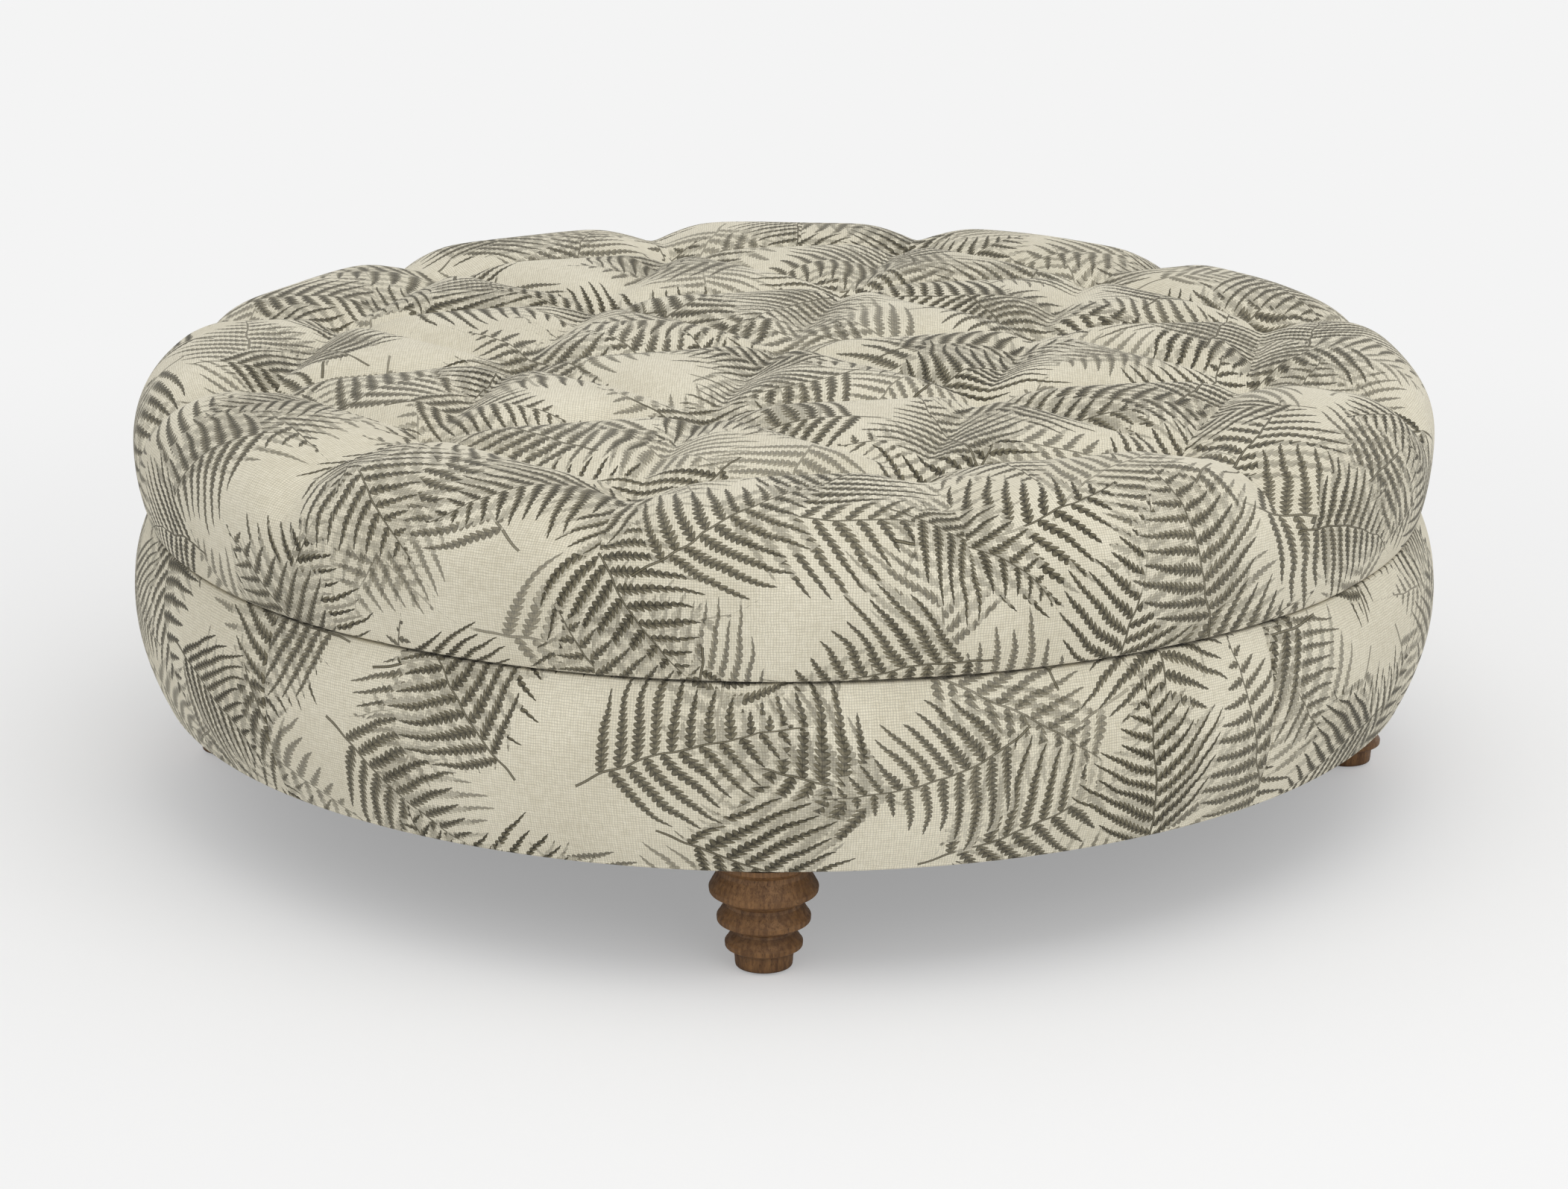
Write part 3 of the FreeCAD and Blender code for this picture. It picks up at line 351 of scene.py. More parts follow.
def lip_to_groove(point, girth, level):
    """A small arc from the point that turns level, then a level run into the groove.

    The arc starts as the arc from the girth leaves it, leaning by the angle a, and its bend
    is its drop / (1 - sin(a)).
    """
    inward = girth[0] - point[0]
    rise = abs(girth[1] - point[1])
    lean = 2 * math.atan2(inward, rise)
    bend = abs(level - point[1]) / (1 - math.sin(lean))
    turn = np.linspace(lean, math.pi / 2, 7)[1:]
    out = point[0] - bend * (math.cos(lean) - np.cos(turn))
    up = point[1] + math.copysign(bend, level - point[1]) * (np.sin(turn) - math.sin(lean))
    end = np.stack([np.linspace(out[-1], out[-1] - GROOVE_DEPTH, 5)[1:], np.full(4, level)], axis=1)
    return np.concatenate([np.stack([out, up], axis=1), end])


def run_length(line):
    """How far along the line each of its points is."""
    steps = np.linalg.norm(np.diff(line, axis=0), axis=1)
    return np.concatenate([[0.0], np.cumsum(steps)])


def band_outline():
    """The band's section as (radius, height): groove, girth, fold, flange and back again.

    Gives the section and the number of its point where the fold starts.
    """
    low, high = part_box("band_cover")
    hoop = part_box("side_hoop")[1].x
    girth = (high.x, low.z + LINEN_THICK + BAND_GIRTH_RISE)
    lip = (hoop + GROOVE_SWELL - LIP_INSET, high.z - LIP_DROP)
    upper = arc_from_upright(girth, lip, 30)
    upper = np.concatenate([upper, lip_to_groove(lip, girth, high.z - GROOVE_GAP)])[::-1]
    lower = arc_from_upright(girth, (BAND_FOOT_RADIUS, low.z + FOLD_BEND), 34)[1:]
    turn = np.linspace(0, math.pi / 2, 7)[1:]
    fold_out = BAND_FOOT_RADIUS - FOLD_BEND * (1 - np.cos(turn))
    fold_up = low.z + FOLD_BEND * (1 - np.sin(turn))
    inner = BAND_FOOT_RADIUS - FLANGE_WIDTH
    flange = np.array([[inner + 12 * MM, low.z], [inner, low.z], [inner, low.z + 1.4 * MM]])
    clear = hoop + HOOP_CLEARANCE
    back = [[clear - 6 * MM, low.z + 1.4 * MM], [clear, low.z + 2.5 * MM], [clear, high.z - 1 * MM]]
    outline = np.concatenate([upper, lower, np.stack([fold_out, fold_up], axis=1), flange, back])
    return outline, len(upper) + len(lower) - 1


def band_columns():
    """Angles round the band from one seam on, closer together at the four seams."""
    seams = math.pi / 4 + np.arange(5) * math.pi / 2
    even = seams[0] + np.arange(COLUMN_COUNT) * 2 * math.pi / COLUMN_COUNT
    near = np.linspace(-SEAM_REACH, SEAM_REACH, SEAM_COLUMNS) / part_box("band_cover")[1].x
    clear = np.min(np.abs(even[:, None] - seams[None, :]), axis=1) > near[-1] * 1.2
    close = (seams[:, None] + near[None, :]).ravel()
    close = close[(close > seams[0] - 1e-9) & (close < seams[-1] - 1e-9)]
    return np.sort(np.concatenate([even[clear], close])), seams


def band_points(outline, fold_start, angles, seams):
    """The outline turned about the centre line, with sewn seams and a hand-padded unevenness.

    The outline's radius gains slow sine waves round the stool and loses a narrow dip at each
    seam. Both fade as sin(pi * s), where s runs from 0 in the groove to 1 at the fold.
    """
    run = run_length(outline)
    side = np.clip(np.sin(np.pi * np.clip(run / run[fold_start], 0, 1)), 0, 1)[:, None]
    angle = angles[None, :]
    off = np.min(np.abs(angles[:, None] - seams[None, :]), axis=1)[None, :] * outline[:, :1].max()
    wave = sum(height * np.sin(number * angle + phase) for height, number, phase in BAND_WAVES)
    ripple = 0.25 * np.sin(43 * angle + 3 * np.sin(4 * angle))
    pucker = 0.5 * np.exp(-((off / PUCKER_REACH) ** 2)) * np.sin(run[:, None] / PUCKER_LENGTH)
    dip = SEAM_DEPTH * np.exp(-((off / SEAM_WIDTH) ** 2))
    radius = outline[:, :1] + side * ((wave + ripple + pucker) * BAND_UNEVENNESS - dip)
    height = outline[:, 1:] + 0 * angle
    return np.stack([radius * np.sin(angle), -radius * np.cos(angle), height], axis=2)


def fern_layer_group():
    """One layer of the print: a square grid of cells with one fern frond in each.

    A frond lies along x in its own cell, turned at random, and every length is a share of
    its own. Leaflets leave its bowed stem by turns and lean towards its tip. Each is a lance
    cut into small lobes: the lobes follow one another every LOBE_STEP along its rib, and
    each is 4 f (1 - f) wide, where f runs from 0 to 1 along it.
    """
    tree, takes, gives = new_group(
        "fern_layer",
        [("Flat", "Vector"), ("Density", "Float"), ("Turn", "Float"), ("Seed", "Float")],
        [("Cover", "Float"), ("Shade", "Float"), ("Clearing", "Float")],
    )
    turned = node_of(
        tree, "ShaderNodeVectorRotate", settings={"rotation_type": "Z_AXIS"},
        Vector=takes["Flat"], Angle=takes["Turn"],
    )
    shift = vector_of(tree, takes["Seed"] * 7.31, takes["Seed"] * 3.17, takes["Seed"])
    grid = vector_sum(tree, "ADD", vector_sum(tree, "SCALE", turned, Scale=takes["Density"]), shift)
    cell = vector_sum(tree, "FLOOR", grid)
    chance = tree.nodes.new("ShaderNodeTexWhiteNoise")
    feed(tree, chance.inputs["Vector"], cell)
    pick_turn, pick_bow, pick_lean = parts_of(tree, chance.outputs["Color"])
    pick = Signal(tree, chance.outputs["Value"])
    local = vector_sum(tree, "SUBTRACT", vector_sum(tree, "FRACTION", grid), (0.5, 0.5, 0.0))
    local = node_of(
        tree, "ShaderNodeVectorRotate", settings={"rotation_type": "Z_AXIS"},
        Vector=local, Angle=pick_turn * (2 * math.pi),
    )
    x, y = parts_of(tree, vector_sum(tree, "SCALE", local, Scale=1.22 - pick * 0.2))[:2]
    share = x + 0.5
    off_middle = share - 0.35
    y = y - (pick_bow - 0.5) * (off_middle * off_middle - 0.04) * STEM_BOW
    side = y.sum("SIGN")
    reach = y.sum("ABSOLUTE")
    stem = reach.sum("LESS_THAN", share * -STEM_TAPER + STEM_HALF_WIDTH)
    stem = stem * share.sum("GREATER_THAN", 0.0) * share.sum("LESS_THAN", 0.98)

    lean = pick_lean * 0.5 + 0.15 + reach * 0.6
    place = (share - reach * lean + side * 0.02) / LEAFLET_STEP
    index = place.sum("ROUND")
    off = place - index
    root = index * LEAFLET_STEP
    each = tree.nodes.new("ShaderNodeTexWhiteNoise")
    feed(tree, each.inputs["Vector"], vector_sum(tree, "ADD", vector_of(tree, index, side, 0.0), cell))
    vary = Signal(tree, each.outputs["Value"])
    taper = ((0.985 - root) * 1.5).sum("MINIMUM", 1.0) * (root * 2.0 + 0.5).sum("MINIMUM", 1.0)
    leaflet = taper * (vary * 0.11 + LEAFLET_LENGTH)
    out = reach / leaflet.sum("MAXIMUM", 0.002)
    width = (1.0 - out).sum("MAXIMUM", 0.0).sum("SQRT") * (out * 2.4 + 0.62).sum("MINIMUM", 1.0)
    width = width * (taper * 0.18 + LEAFLET_WIDTH)
    across = off.sum("ABSOLUTE")
    lobe = (reach / LOBE_STEP - across * 1.5).sum("FRACT")
    lobe = lobe * (1.0 - lobe) * 4.0
    edge = width * (lobe * LOBE_DEPTH + (1.0 - LOBE_DEPTH))
    rooted = root.sum("GREATER_THAN", BARE_STEM)
    leaf = across.sum("LESS_THAN", edge) * rooted
    clearing = out.sum("LESS_THAN", 1.02) * rooted

    rib = across.sum("LESS_THAN", 0.03)
    shade = lobe * lobe * 0.75 + off.sum("SIGN") * 0.12 + (vary - 0.5) * 0.25 - rib * 0.35
    shade = shade + (reach / LOBE_STEP * (8 * math.pi)).sum("SINE") * 0.06
    core = reach.sum("LESS_THAN", share * -STEM_CORE_TAPER + STEM_CORE_HALF_WIDTH)
    shade = shade * (1.0 - stem) + stem * core * 0.9
    feed(tree, gives.inputs["Cover"], leaf.sum("MAXIMUM", stem) * (pick_lean * 0.14 + 0.86))
    feed(tree, gives.inputs["Shade"], shade.clamp())
    feed(tree, gives.inputs["Clearing"], clearing)
    return tree


def linen_weave_group():
    """A plain weave: threads pass over and under by turns, with slubs and uneven tone.

    Across its own width a thread bulges as 4 f (1 - f), where f runs from 0 to 1.
    """
    tree, takes, gives = new_group(
        "linen_weave", [("Flat", "Vector"), ("Pitch", "Float")], [("Height", "Float"), ("Tone", "Float")]
    )
    across, along = parts_of(tree, takes["Flat"])[:2]
    wander = node_of(tree, "ShaderNodeTexNoise", Vector=takes["Flat"], Scale=150.0, Detail=0.0)
    warp = across / takes["Pitch"] + wander * 0.7
    weft = along / takes["Pitch"] - wander * 0.7
    over = ((warp.sum("FLOOR") + weft.sum("FLOOR")) * 0.5).sum("FRACT").sum("GREATER_THAN", 0.25)
    warp = warp.sum("FRACT")
    weft = weft.sum("FRACT")
    warp = warp * (1.0 - warp) * 4.0
    weft = weft * (1.0 - weft) * 4.0
    first = warp.sum("SQRT") * (weft * 0.55 + 0.45)
    second = weft.sum("SQRT") * (warp * 0.55 + 0.45)
    feed(tree, gives.inputs["Height"], first * over + second * (1.0 - over))
    slub_across = vector_of(tree, across * 90.0, along * 480.0)
    slub_along = vector_of(tree, across * 480.0, along * 90.0)
    slubs = node_of(tree, "ShaderNodeTexNoise", Vector=slub_across, Scale=1.0, Detail=1.0)
    slubs = slubs + node_of(tree, "ShaderNodeTexNoise", Vector=slub_along, Scale=1.0, Detail=1.0)
    slow = node_of(tree, "ShaderNodeTexNoise", Vector=takes["Flat"], Scale=9.0, Detail=1.0)
    feed(tree, gives.inputs["Tone"], (slubs * 0.5).ramp(0.36, 0.64) * 0.4 + slow.ramp(0.3, 0.7) * 0.3)
    return tree


STEM_BOW = 0.7
STEM_HALF_WIDTH = 0.0065
STEM_TAPER = 0.0035
STEM_CORE_HALF_WIDTH = 0.0034
STEM_CORE_TAPER = 0.0018
BARE_STEM = 0.10
LEAFLET_STEP = 0.080
LEAFLET_LENGTH = 0.33
LEAFLET_WIDTH = 0.27
LOBE_STEP = 0.025
LOBE_DEPTH = 0.66
FERN_LAYER = fern_layer_group()
LINEN_WEAVE = linen_weave_group()
WEAVE_PITCH = 2.3 * MM
LINEN_PALE = (0.80, 0.75, 0.605)
LINEN_DARK = (0.58, 0.53, 0.40)
INK_DARK = (0.024, 0.020, 0.010)
INK_PALE = (0.185, 0.163, 0.103)
# Each layer of ferns: cells to a metre, turn in degrees, seed, how strongly it prints, and
# how far it clears what lies behind it
FERN_LAYERS = (
    (4.2, 17.0, 1.0, 0.72, 0.0),
    (4.6, 63.0, 2.0, 0.76, 0.3),
    (4.3, 49.0, 6.0, 0.90, 0.3),
    (4.1, 35.0, 3.0, 1.00, 0.35),
    (4.4, 80.0, 4.0, 1.00, 0.5),
    (4.8, 8.0, 5.0, 1.00, 0.5),
)


def printed_linen():
    """Coarse natural linen with fern fronds printed on it in pale and dark layers, and painted shade in
    the gaps between its threads.
    """
    material, tree, shader = new_material("printed_linen", Roughness=0.88)
    shader.inputs["Sheen Weight"].default_value = 0.10
    shader.inputs["Sheen Roughness"].default_value = 0.5
    shader.inputs["Specular IOR Level"].default_value = 0.25
    flat = node_of(tree, "ShaderNodeUVMap", settings={"uv_map": "Flat"})
    weave = use_group(tree, LINEN_WEAVE, Flat=flat, Pitch=WEAVE_PITCH)
    ground = blend_of(tree, weave["Tone"], LINEN_PALE, LINEN_DARK)
    colour = ground
    drift = node_of(tree, "ShaderNodeTexNoise", out=1, Vector=flat, Scale=24.0, Detail=1.0)
    drift = vector_sum(tree, "MULTIPLY_ADD", drift, (0.011, 0.011, 0.0), flat)
    for density, turn, seed, strength, clears in FERN_LAYERS:
        fern = use_group(
            tree, FERN_LAYER, Flat=drift, Density=density, Turn=math.radians(turn), Seed=seed
        )
        colour = blend_of(tree, fern["Clearing"] * clears, colour, ground) if clears else colour
        ink = blend_of(tree, fern["Shade"], INK_DARK, INK_PALE)
        colour = blend_of(tree, fern["Cover"] * strength, colour, ink)
    # Painted shade: the colour darkens where the weave is low, in the gaps between threads
    depth = weave["Height"] * 0.42 + 0.66
    gap_shaded_colour = vector_sum(tree, "SCALE", colour, Scale=depth)
    feed(tree, shader.inputs["Base Color"], gap_shaded_colour)
    bump(tree, shader, weave["Height"], 0.0006, 0.6)
    return material


linen = printed_linen()
outline, fold_start = band_outline()
angles, seams = band_columns()
points = band_points(outline, fold_start, angles, seams)
rows, columns = points.shape[:2]
faces = grid_faces(rows, columns, wrap=True)
closing = np.stack([np.arange(columns), (np.arange(columns) + 1) % columns], axis=1)
last_row = (rows - 1) * columns
back = [last_row + closing[:, 0], last_row + closing[:, 1], closing[:, 1], closing[:, 0]]
faces = np.concatenate([faces, np.stack(back, axis=1)])
girth = outline[:, 0].max()
along = run_length(outline)
along = np.append(along, along[-1] + 0.01)
row_of = faces // columns
row_of[-columns:, 2:] = rows
column_of = faces % columns
wrapped = column_of < column_of[:, :1]
round_angle = angles[column_of] + 2 * math.pi * wrapped
panel = np.floor((angles[column_of[:, :1]] - seams[0] + 1e-6) / (math.pi / 2))
flat = np.stack([round_angle * girth + panel * PANEL_STEP, -along[row_of]], axis=2)[:, ::-1]
faces = faces[:, ::-1]
band = surface_object("band_of_linen", points.reshape(-1, 3), faces, flat.reshape(-1, 2), linen)
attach(band, "root")
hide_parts("band_cover", "band_foam")


# The pad is a foam slab and batting under one printed linen cover. Nineteen blind tufts on a
# triangular lattice pull it down, the cloth folds into valleys from tuft to tuft, and twelve
# pleats run out over the shoulder and fade at the girth.
TUFT_TURN = math.radians(-13.2)
TUFT_PITCH = 252.5 * MM
TUFT_BETWEEN = TUFT_PITCH * math.sqrt(3)
TUFT_OUTER = 484.0 * MM
PAD_GIRTH_RISE = 72.0 * MM
CROWN_RISE = 9.8 * MM
TUFT_FLAT = 4.0 * MM
TUFT_REACH = 100.0 * MM
TUFT_PULL = 34.0 * MM
VALLEY_REACH = 68.0 * MM
VALLEY_PULL = 21.0 * MM
PULL_SOFTNESS = 1.2 * MM
FOOT_FADE = 60.0 * MM
LOBES = 12
EDGE_STEPS = 22
SIDE_STEPS = 46
UNDERSIDE = np.array([60.0, 260.0, 540.0]) * MM


def polar_points(radius, angle):
    """Plan points that far from the centre, at that angle from the front towards +X."""
    return np.stack([radius * np.sin(angle), -radius * np.cos(angle)], axis=-1)


def tuft_plan():
    """The tufts in plan: the middle one, then the inner, between and outer rings of six."""
    steps = np.arange(6) * math.pi / 3 + TUFT_TURN
    rings = [polar_points(TUFT_PITCH, steps), polar_points(TUFT_BETWEEN, steps + math.pi / 6)]
    rings.append(polar_points(TUFT_OUTER, steps))
    return np.concatenate([np.zeros((1, 2)), *rings])


def pad_outline():
    """The pad's section from the middle of its crown to the groove, before it is tufted.

    A crown arc meets a quarter-round shoulder smoothly, and an arc from the girth leads in
    to the groove. Gives run length, radius, height and the outward direction at each point.
    """
    low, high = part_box("pad_cover")
    girth = np.array([high.x, low.z + PAD_GIRTH_RISE])
    rise = high.z + 0.6 * MM - girth[1]
    bend = rise - CROWN_RISE
    reach = girth[0] - bend
    crown = (reach**2 + rise**2 - bend**2) / (2 * (rise - bend))
    centre = girth[1] + rise - crown
    lean = math.atan2(reach, girth[1] - centre)
    over = np.linspace(0, lean, 240)
    top = np.stack([crown * np.sin(over), centre + crown * np.cos(over)], axis=1)
    turn = np.linspace(lean, math.pi / 2, 80)[1:]
    shoulder = np.stack([reach + bend * np.sin(turn), girth[1] + bend * np.cos(turn)], axis=1)
    lip = (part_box("side_hoop")[1].x + GROOVE_SWELL + LIP_INSET, low.z + LIP_DROP)
    under = arc_from_upright(girth, lip, 50)[1:]
    line = np.concatenate([top, shoulder, under, lip_to_groove(lip, girth, low.z + GROOVE_GAP)])
    line = np.concatenate([line, line[-1:] - np.array([[UNDERSIDE[-1], 0.0]])])
    slope = np.gradient(line, axis=0)
    out = np.stack([-slope[:, 1], slope[:, 0]], axis=1)
    out /= np.linalg.norm(out, axis=1, keepdims=True)
    return run_length(line), line, out


outline_run, outline_line, outline_out = pad_outline()
SIDE_END = outline_run[-2]


def triangle_patch(a, b, c):
    """Points and triangles that divide one triangle of the plan evenly."""
    rows = []
    for row in range(EDGE_STEPS + 1):
        share = np.linspace(0, 1, EDGE_STEPS + 1 - row)[:, None] if row < EDGE_STEPS else np.zeros((1, 1))
        up = row / EDGE_STEPS
        rows.append((1 - up) * ((1 - share) * a + share * b) + up * c)
    starts = np.cumsum([0] + [len(row) for row in rows])
    faces = []
    for row in range(EDGE_STEPS):
        first = starts[row] + np.arange(len(rows[row]) - 1)
        above = starts[row + 1] + np.arange(len(rows[row + 1]))
        faces.append(np.stack([first, first + 1, above[: len(first)]], axis=1))
        if len(above) > 1:
            faces.append(np.stack([first[1:], above[1:], above[:-1]], axis=1))
    return np.concatenate(rows), np.concatenate(faces)


def lobe_patch(a, b):
    """Points and quads from the valley between two outer tufts out to the pad's foot."""
    share = np.linspace(0, 1, EDGE_STEPS + 1)[:, None]
    edge = (1 - share) * a + share * b
    radius = np.linalg.norm(edge, axis=1)
    direction = edge / radius[:, None]
    down = np.linspace(0, 1, SIDE_STEPS + 1)[:, None]
    run = radius[None, :] + (SIDE_END - radius)[None, :] * down
    run = np.concatenate([run, SIDE_END + UNDERSIDE[:, None] + 0 * radius[None, :]])
    points = run[:, :, None] * direction[None, :, :]
    return points.reshape(-1, 2), grid_faces(len(run), EDGE_STEPS + 1)[:, ::-1]


def segment_distance(points, a, b):
    """How far each plan point is from the line between two points."""
    span = b - a
    along = np.clip((points - a) @ span / (span @ span), 0, 1)
    return np.linalg.norm(points - a - along[:, None] * span, axis=1)


def soft_max(depths, softness):
    """The greatest of the depths at each point, with the changes between them rounded."""
    stack = np.stack(depths) / softness
    peak = stack.max(axis=0)
    return softness * (peak + np.log(np.exp(stack - peak).sum(axis=0)))


def crease(distance, spread, depth):
    """A trough with full sides: deepest at 0, level at its spread."""
    return depth * np.clip(1 - distance / spread, 0, None) ** 2


TUFTS = tuft_plan()
MIDDLE, INNER, BETWEEN, OUTER = 0, 1, 7, 13
VALLEYS = []
TRIANGLES = []
LOBE_EDGES = []
for step in range(6):
    following = (step + 1) % 6
    inner, inner_next = INNER + step, INNER + following
    between, outer, outer_next = BETWEEN + step, OUTER + step, OUTER + following
    VALLEYS += [(MIDDLE, inner), (inner, inner_next), (inner, between), (inner_next, between)]
    VALLEYS += [(inner, outer), (outer, between), (between, outer_next)]
    TRIANGLES += [(MIDDLE, inner, inner_next), (inner, between, inner_next)]
    TRIANGLES += [(inner, outer, between), (inner_next, between, outer_next)]
    LOBE_EDGES += [(outer, between), (between, outer_next)]


PLEAT_RUN = np.array([400.0, 470.0, 570.0, 610.0, 650.0, 678.0]) * MM
PLEAT_DEPTH = np.array([0.0, 16.0, 25.0, 22.0, 9.0, 0.0]) * MM
PLEAT_SPREAD = np.array([70.0, 96.0, 108.0, 84.0, 46.0, 24.0]) * MM
SHOULDER_RADIUS = 580.0 * MM


def pleat_depth(run, off):
    """A pleat's depth at that run length and that far to its side.

    It starts as a valley, is deepest over the shoulder and closes just below the girth.
    """
    return crease(off, np.interp(run, PLEAT_RUN, PLEAT_SPREAD), np.interp(run, PLEAT_RUN, PLEAT_DEPTH))


def beside_pleat(points, run):
    """How far each plan point is from the middle of its nearest pleat."""
    angle = np.arctan2(points[:, 0], -points[:, 1]) - TUFT_TURN
    off_angle = (angle + math.pi / LOBES) % (2 * math.pi / LOBES) - math.pi / LOBES
    return np.abs(off_angle) * np.minimum(run, SHOULDER_RADIUS)


def tufted(points, run):
    """How far in the tufts, valleys and pleats pull the cover at each plan point."""
    depths = []
    for tuft in TUFTS:
        away = np.linalg.norm(points - tuft, axis=1)
        depths.append(crease(np.clip(away - TUFT_FLAT, 0, None), TUFT_REACH, TUFT_PULL))
    for first, second in VALLEYS:
        away = segment_distance(points, TUFTS[first], TUFTS[second])
        depths.append(crease(away, VALLEY_REACH, VALLEY_PULL))
    depths.append(pleat_depth(run, beside_pleat(points, run)))
    return soft_max(depths, PULL_SOFTNESS) - PULL_SOFTNESS * math.log(len(depths)) * 0.6


def pad_points(points):
    """The cover's points: the untufted outline, drawn in by tufts and filled out by batting."""
    run = np.linalg.norm(points, axis=1)
    direction = points / np.maximum(run, 1e-9)[:, None]
    radius = np.interp(run, outline_run, outline_line[:, 0])
    height = np.interp(run, outline_run, outline_line[:, 1])
    out_r = np.interp(run, outline_run, outline_out[:, 0])
    out_z = np.interp(run, outline_run, outline_out[:, 1])
    pull = tufted(points, run)
    angle = np.arctan2(points[:, 0], -points[:, 1])
    foot = np.clip((SIDE_END - run) / FOOT_FADE, 0, 1)
    wave = 0.8 * np.sin(31 * points[:, 0] + 1.0) * np.sin(27 * points[:, 1] + 2.0)
    wave += 0.6 * np.sin(7 * angle + 0.8) + 0.4 * np.sin(11 * angle + 2.9)
    out = (wave * foot) * MM - pull
    radius = radius + out * out_r
    height = height + out * out_z
    return np.column_stack([direction * radius[:, None], height])


def lobe_flat(points):
    """Cloth coordinates on the lobes: true lengths out from each lobe's own middle line."""
    run = np.linalg.norm(points, axis=2)
    radius = np.interp(run, outline_run, outline_line[:, 0])
    angle = np.arctan2(points[:, :, 0], -points[:, :, 1]) - TUFT_TURN
    middle = points.mean(axis=1)
    middle_angle = np.arctan2(middle[:, 0], -middle[:, 1]) - TUFT_TURN
    lobe = np.floor(middle_angle / (2 * math.pi / LOBES))[:, None]
    centre = (lobe + 0.5) * 2 * math.pi / LOBES
    off = (angle - centre + math.pi) % (2 * math.pi) - math.pi
    return np.stack([centre * outline_line[:, 0].max() + radius * off, 3.0 - run], axis=2)


def join_patches(patches):
    """The plan points of the patches in one array, and their faces numbered to match."""
    plan = []
    faces = []
    count = 0
    for patch, patch_faces in patches:
        plan.append(patch)
        faces.append(patch_faces + count)
        count += len(patch)
    return np.concatenate(plan), np.concatenate(faces)


crown_plan, tri_faces = join_patches([triangle_patch(*TUFTS[list(corners)]) for corners in TRIANGLES])
lobe_plan, quad_faces = join_patches([lobe_patch(*TUFTS[list(ends)]) for ends in LOBE_EDGES])
plan = np.concatenate([crown_plan, lobe_plan])
quad_faces = quad_faces + len(crown_plan)
tri_flat = plan[tri_faces]
quad_flat = lobe_flat(plan[quad_faces])
last_row = np.arange(EDGE_STEPS) - EDGE_STEPS - 1
ends = len(crown_plan) + len(lobe_plan) // LOBES * (np.arange(LOBES) + 1)
under_ring = (ends[:, None] + last_row[None, :]).ravel()
keep, place_of = np.unique(np.round(plan, 6), axis=0, return_index=True, return_inverse=True)[1:]
place_of = place_of.ravel()
plan = plan[keep]
points = pad_points(plan)
faces = [tuple(face) for face in place_of[tri_faces]] + [tuple(face) for face in place_of[quad_faces]]
faces.append(tuple(place_of[under_ring][::-1]))
flat = [tri_flat.reshape(-1, 2), quad_flat.reshape(-1, 2), points[place_of[under_ring][::-1], :2]]
flat = np.concatenate(flat)
pad = surface_object("tufted_pad", points, faces, flat, linen)


HELD_LIP = 34.0 * MM
HELD_TUFT = 14.0 * MM
HELD_FOLD = 14.0 * MM
FOLD_HOLD = 0.8
SWELL_CAP = 9.0 * MM
SWELL_PRESSURE = 4.0
SWELL_FRAMES = 20


def held_shares(plan):
    """How firmly each point is held: fully at tufts and below the lip, partly in the folds."""
    run = np.linalg.norm(plan, axis=1)
    held = np.clip((run - (SIDE_END - HELD_LIP)) / (12 * MM), 0, 1)
    for tuft in TUFTS:
        away = np.linalg.norm(plan - tuft, axis=1)
        held = np.maximum(held, np.clip((HELD_TUFT - away) / (6 * MM), 0, 1))
    for first, second in VALLEYS:
        away = segment_distance(plan, TUFTS[first], TUFTS[second])
        held = np.maximum(held, FOLD_HOLD * np.clip(1 - away / HELD_FOLD, 0, 1))
    beside = beside_pleat(plan, run)
    pleated = (run > TUFT_OUTER * 0.9) & (run < PLEAT_RUN[-2])
    return np.maximum(held, FOLD_HOLD * pleated * np.clip(1 - beside / HELD_FOLD, 0, 1))


def inflate(piece, held, cap):
    """Swells the piece with Blender's cloth from inside, no point by more than the cap."""
    mesh = piece.data
    start = np.empty(len(mesh.vertices) * 3, np.float32)
    mesh.vertices.foreach_get("co", start)
    group = piece.vertex_groups.new(name="held")
    steps = np.round(held * 10).astype(int)
    for step in range(1, 11):
        group.add(np.flatnonzero(steps == step).tolist(), step / 10, "REPLACE")
    settings = piece.modifiers.new("Cloth", "CLOTH").settings
    settings.use_pressure = True
    settings.uniform_pressure_force = SWELL_PRESSURE
    settings.effector_weights.gravity = 0.0
    settings.vertex_group_mass = "held"
    settings.pin_stiffness = 1.0
    settings.quality = 5
    for number in range(1, SWELL_FRAMES + 1):
        bpy.context.scene.frame_set(number)
    swollen = piece.evaluated_get(bpy.context.evaluated_depsgraph_get()).data
    end = np.empty_like(start)
    swollen.vertices.foreach_get("co", end)
    piece.modifiers.clear()
    piece.vertex_groups.clear()
    bpy.context.scene.frame_set(1)
    moved = (end - start).reshape(-1, 3)
    far = np.linalg.norm(moved, axis=1, keepdims=True)
    moved *= np.minimum(1.0, cap / np.maximum(far, 1e-9))
    mesh.vertices.foreach_set("co", (start.reshape(-1, 3) + moved).ravel())
    mesh.update()


inflate(pad, held_shares(plan), SWELL_CAP)
finer = pad.modifiers.new("finer", "SUBSURF")
finer.levels = 1
finer.render_levels = 1
finer.uv_smooth = "NONE"
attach(pad, "root")
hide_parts("pad_cover", "pad_batting", "pad_foam")


# The dust cover is a disc of thin black spun cloth, stapled flat under the ring all the way
# round. It is cut open at the four bolts and sags a little where nothing backs it.
CLOTH_COLUMNS = 240
CLOTH_RINGS = 30
CLOTH_THICK = 0.9 * MM
CLOTH_SAG = 3.0 * MM
SAG_RADIUS = 472.0 * MM
STAPLE_MARGIN = 6.0 * MM
BOLT_OPENING = 8.0 * MM
FOOT_CIRCLE = 540.0 * MM


def off_bolt(angle):
    """How far the angle is from that of the nearest bolt."""
    return np.abs((angle + math.pi / 4) % (math.pi / 2) - math.pi / 4)


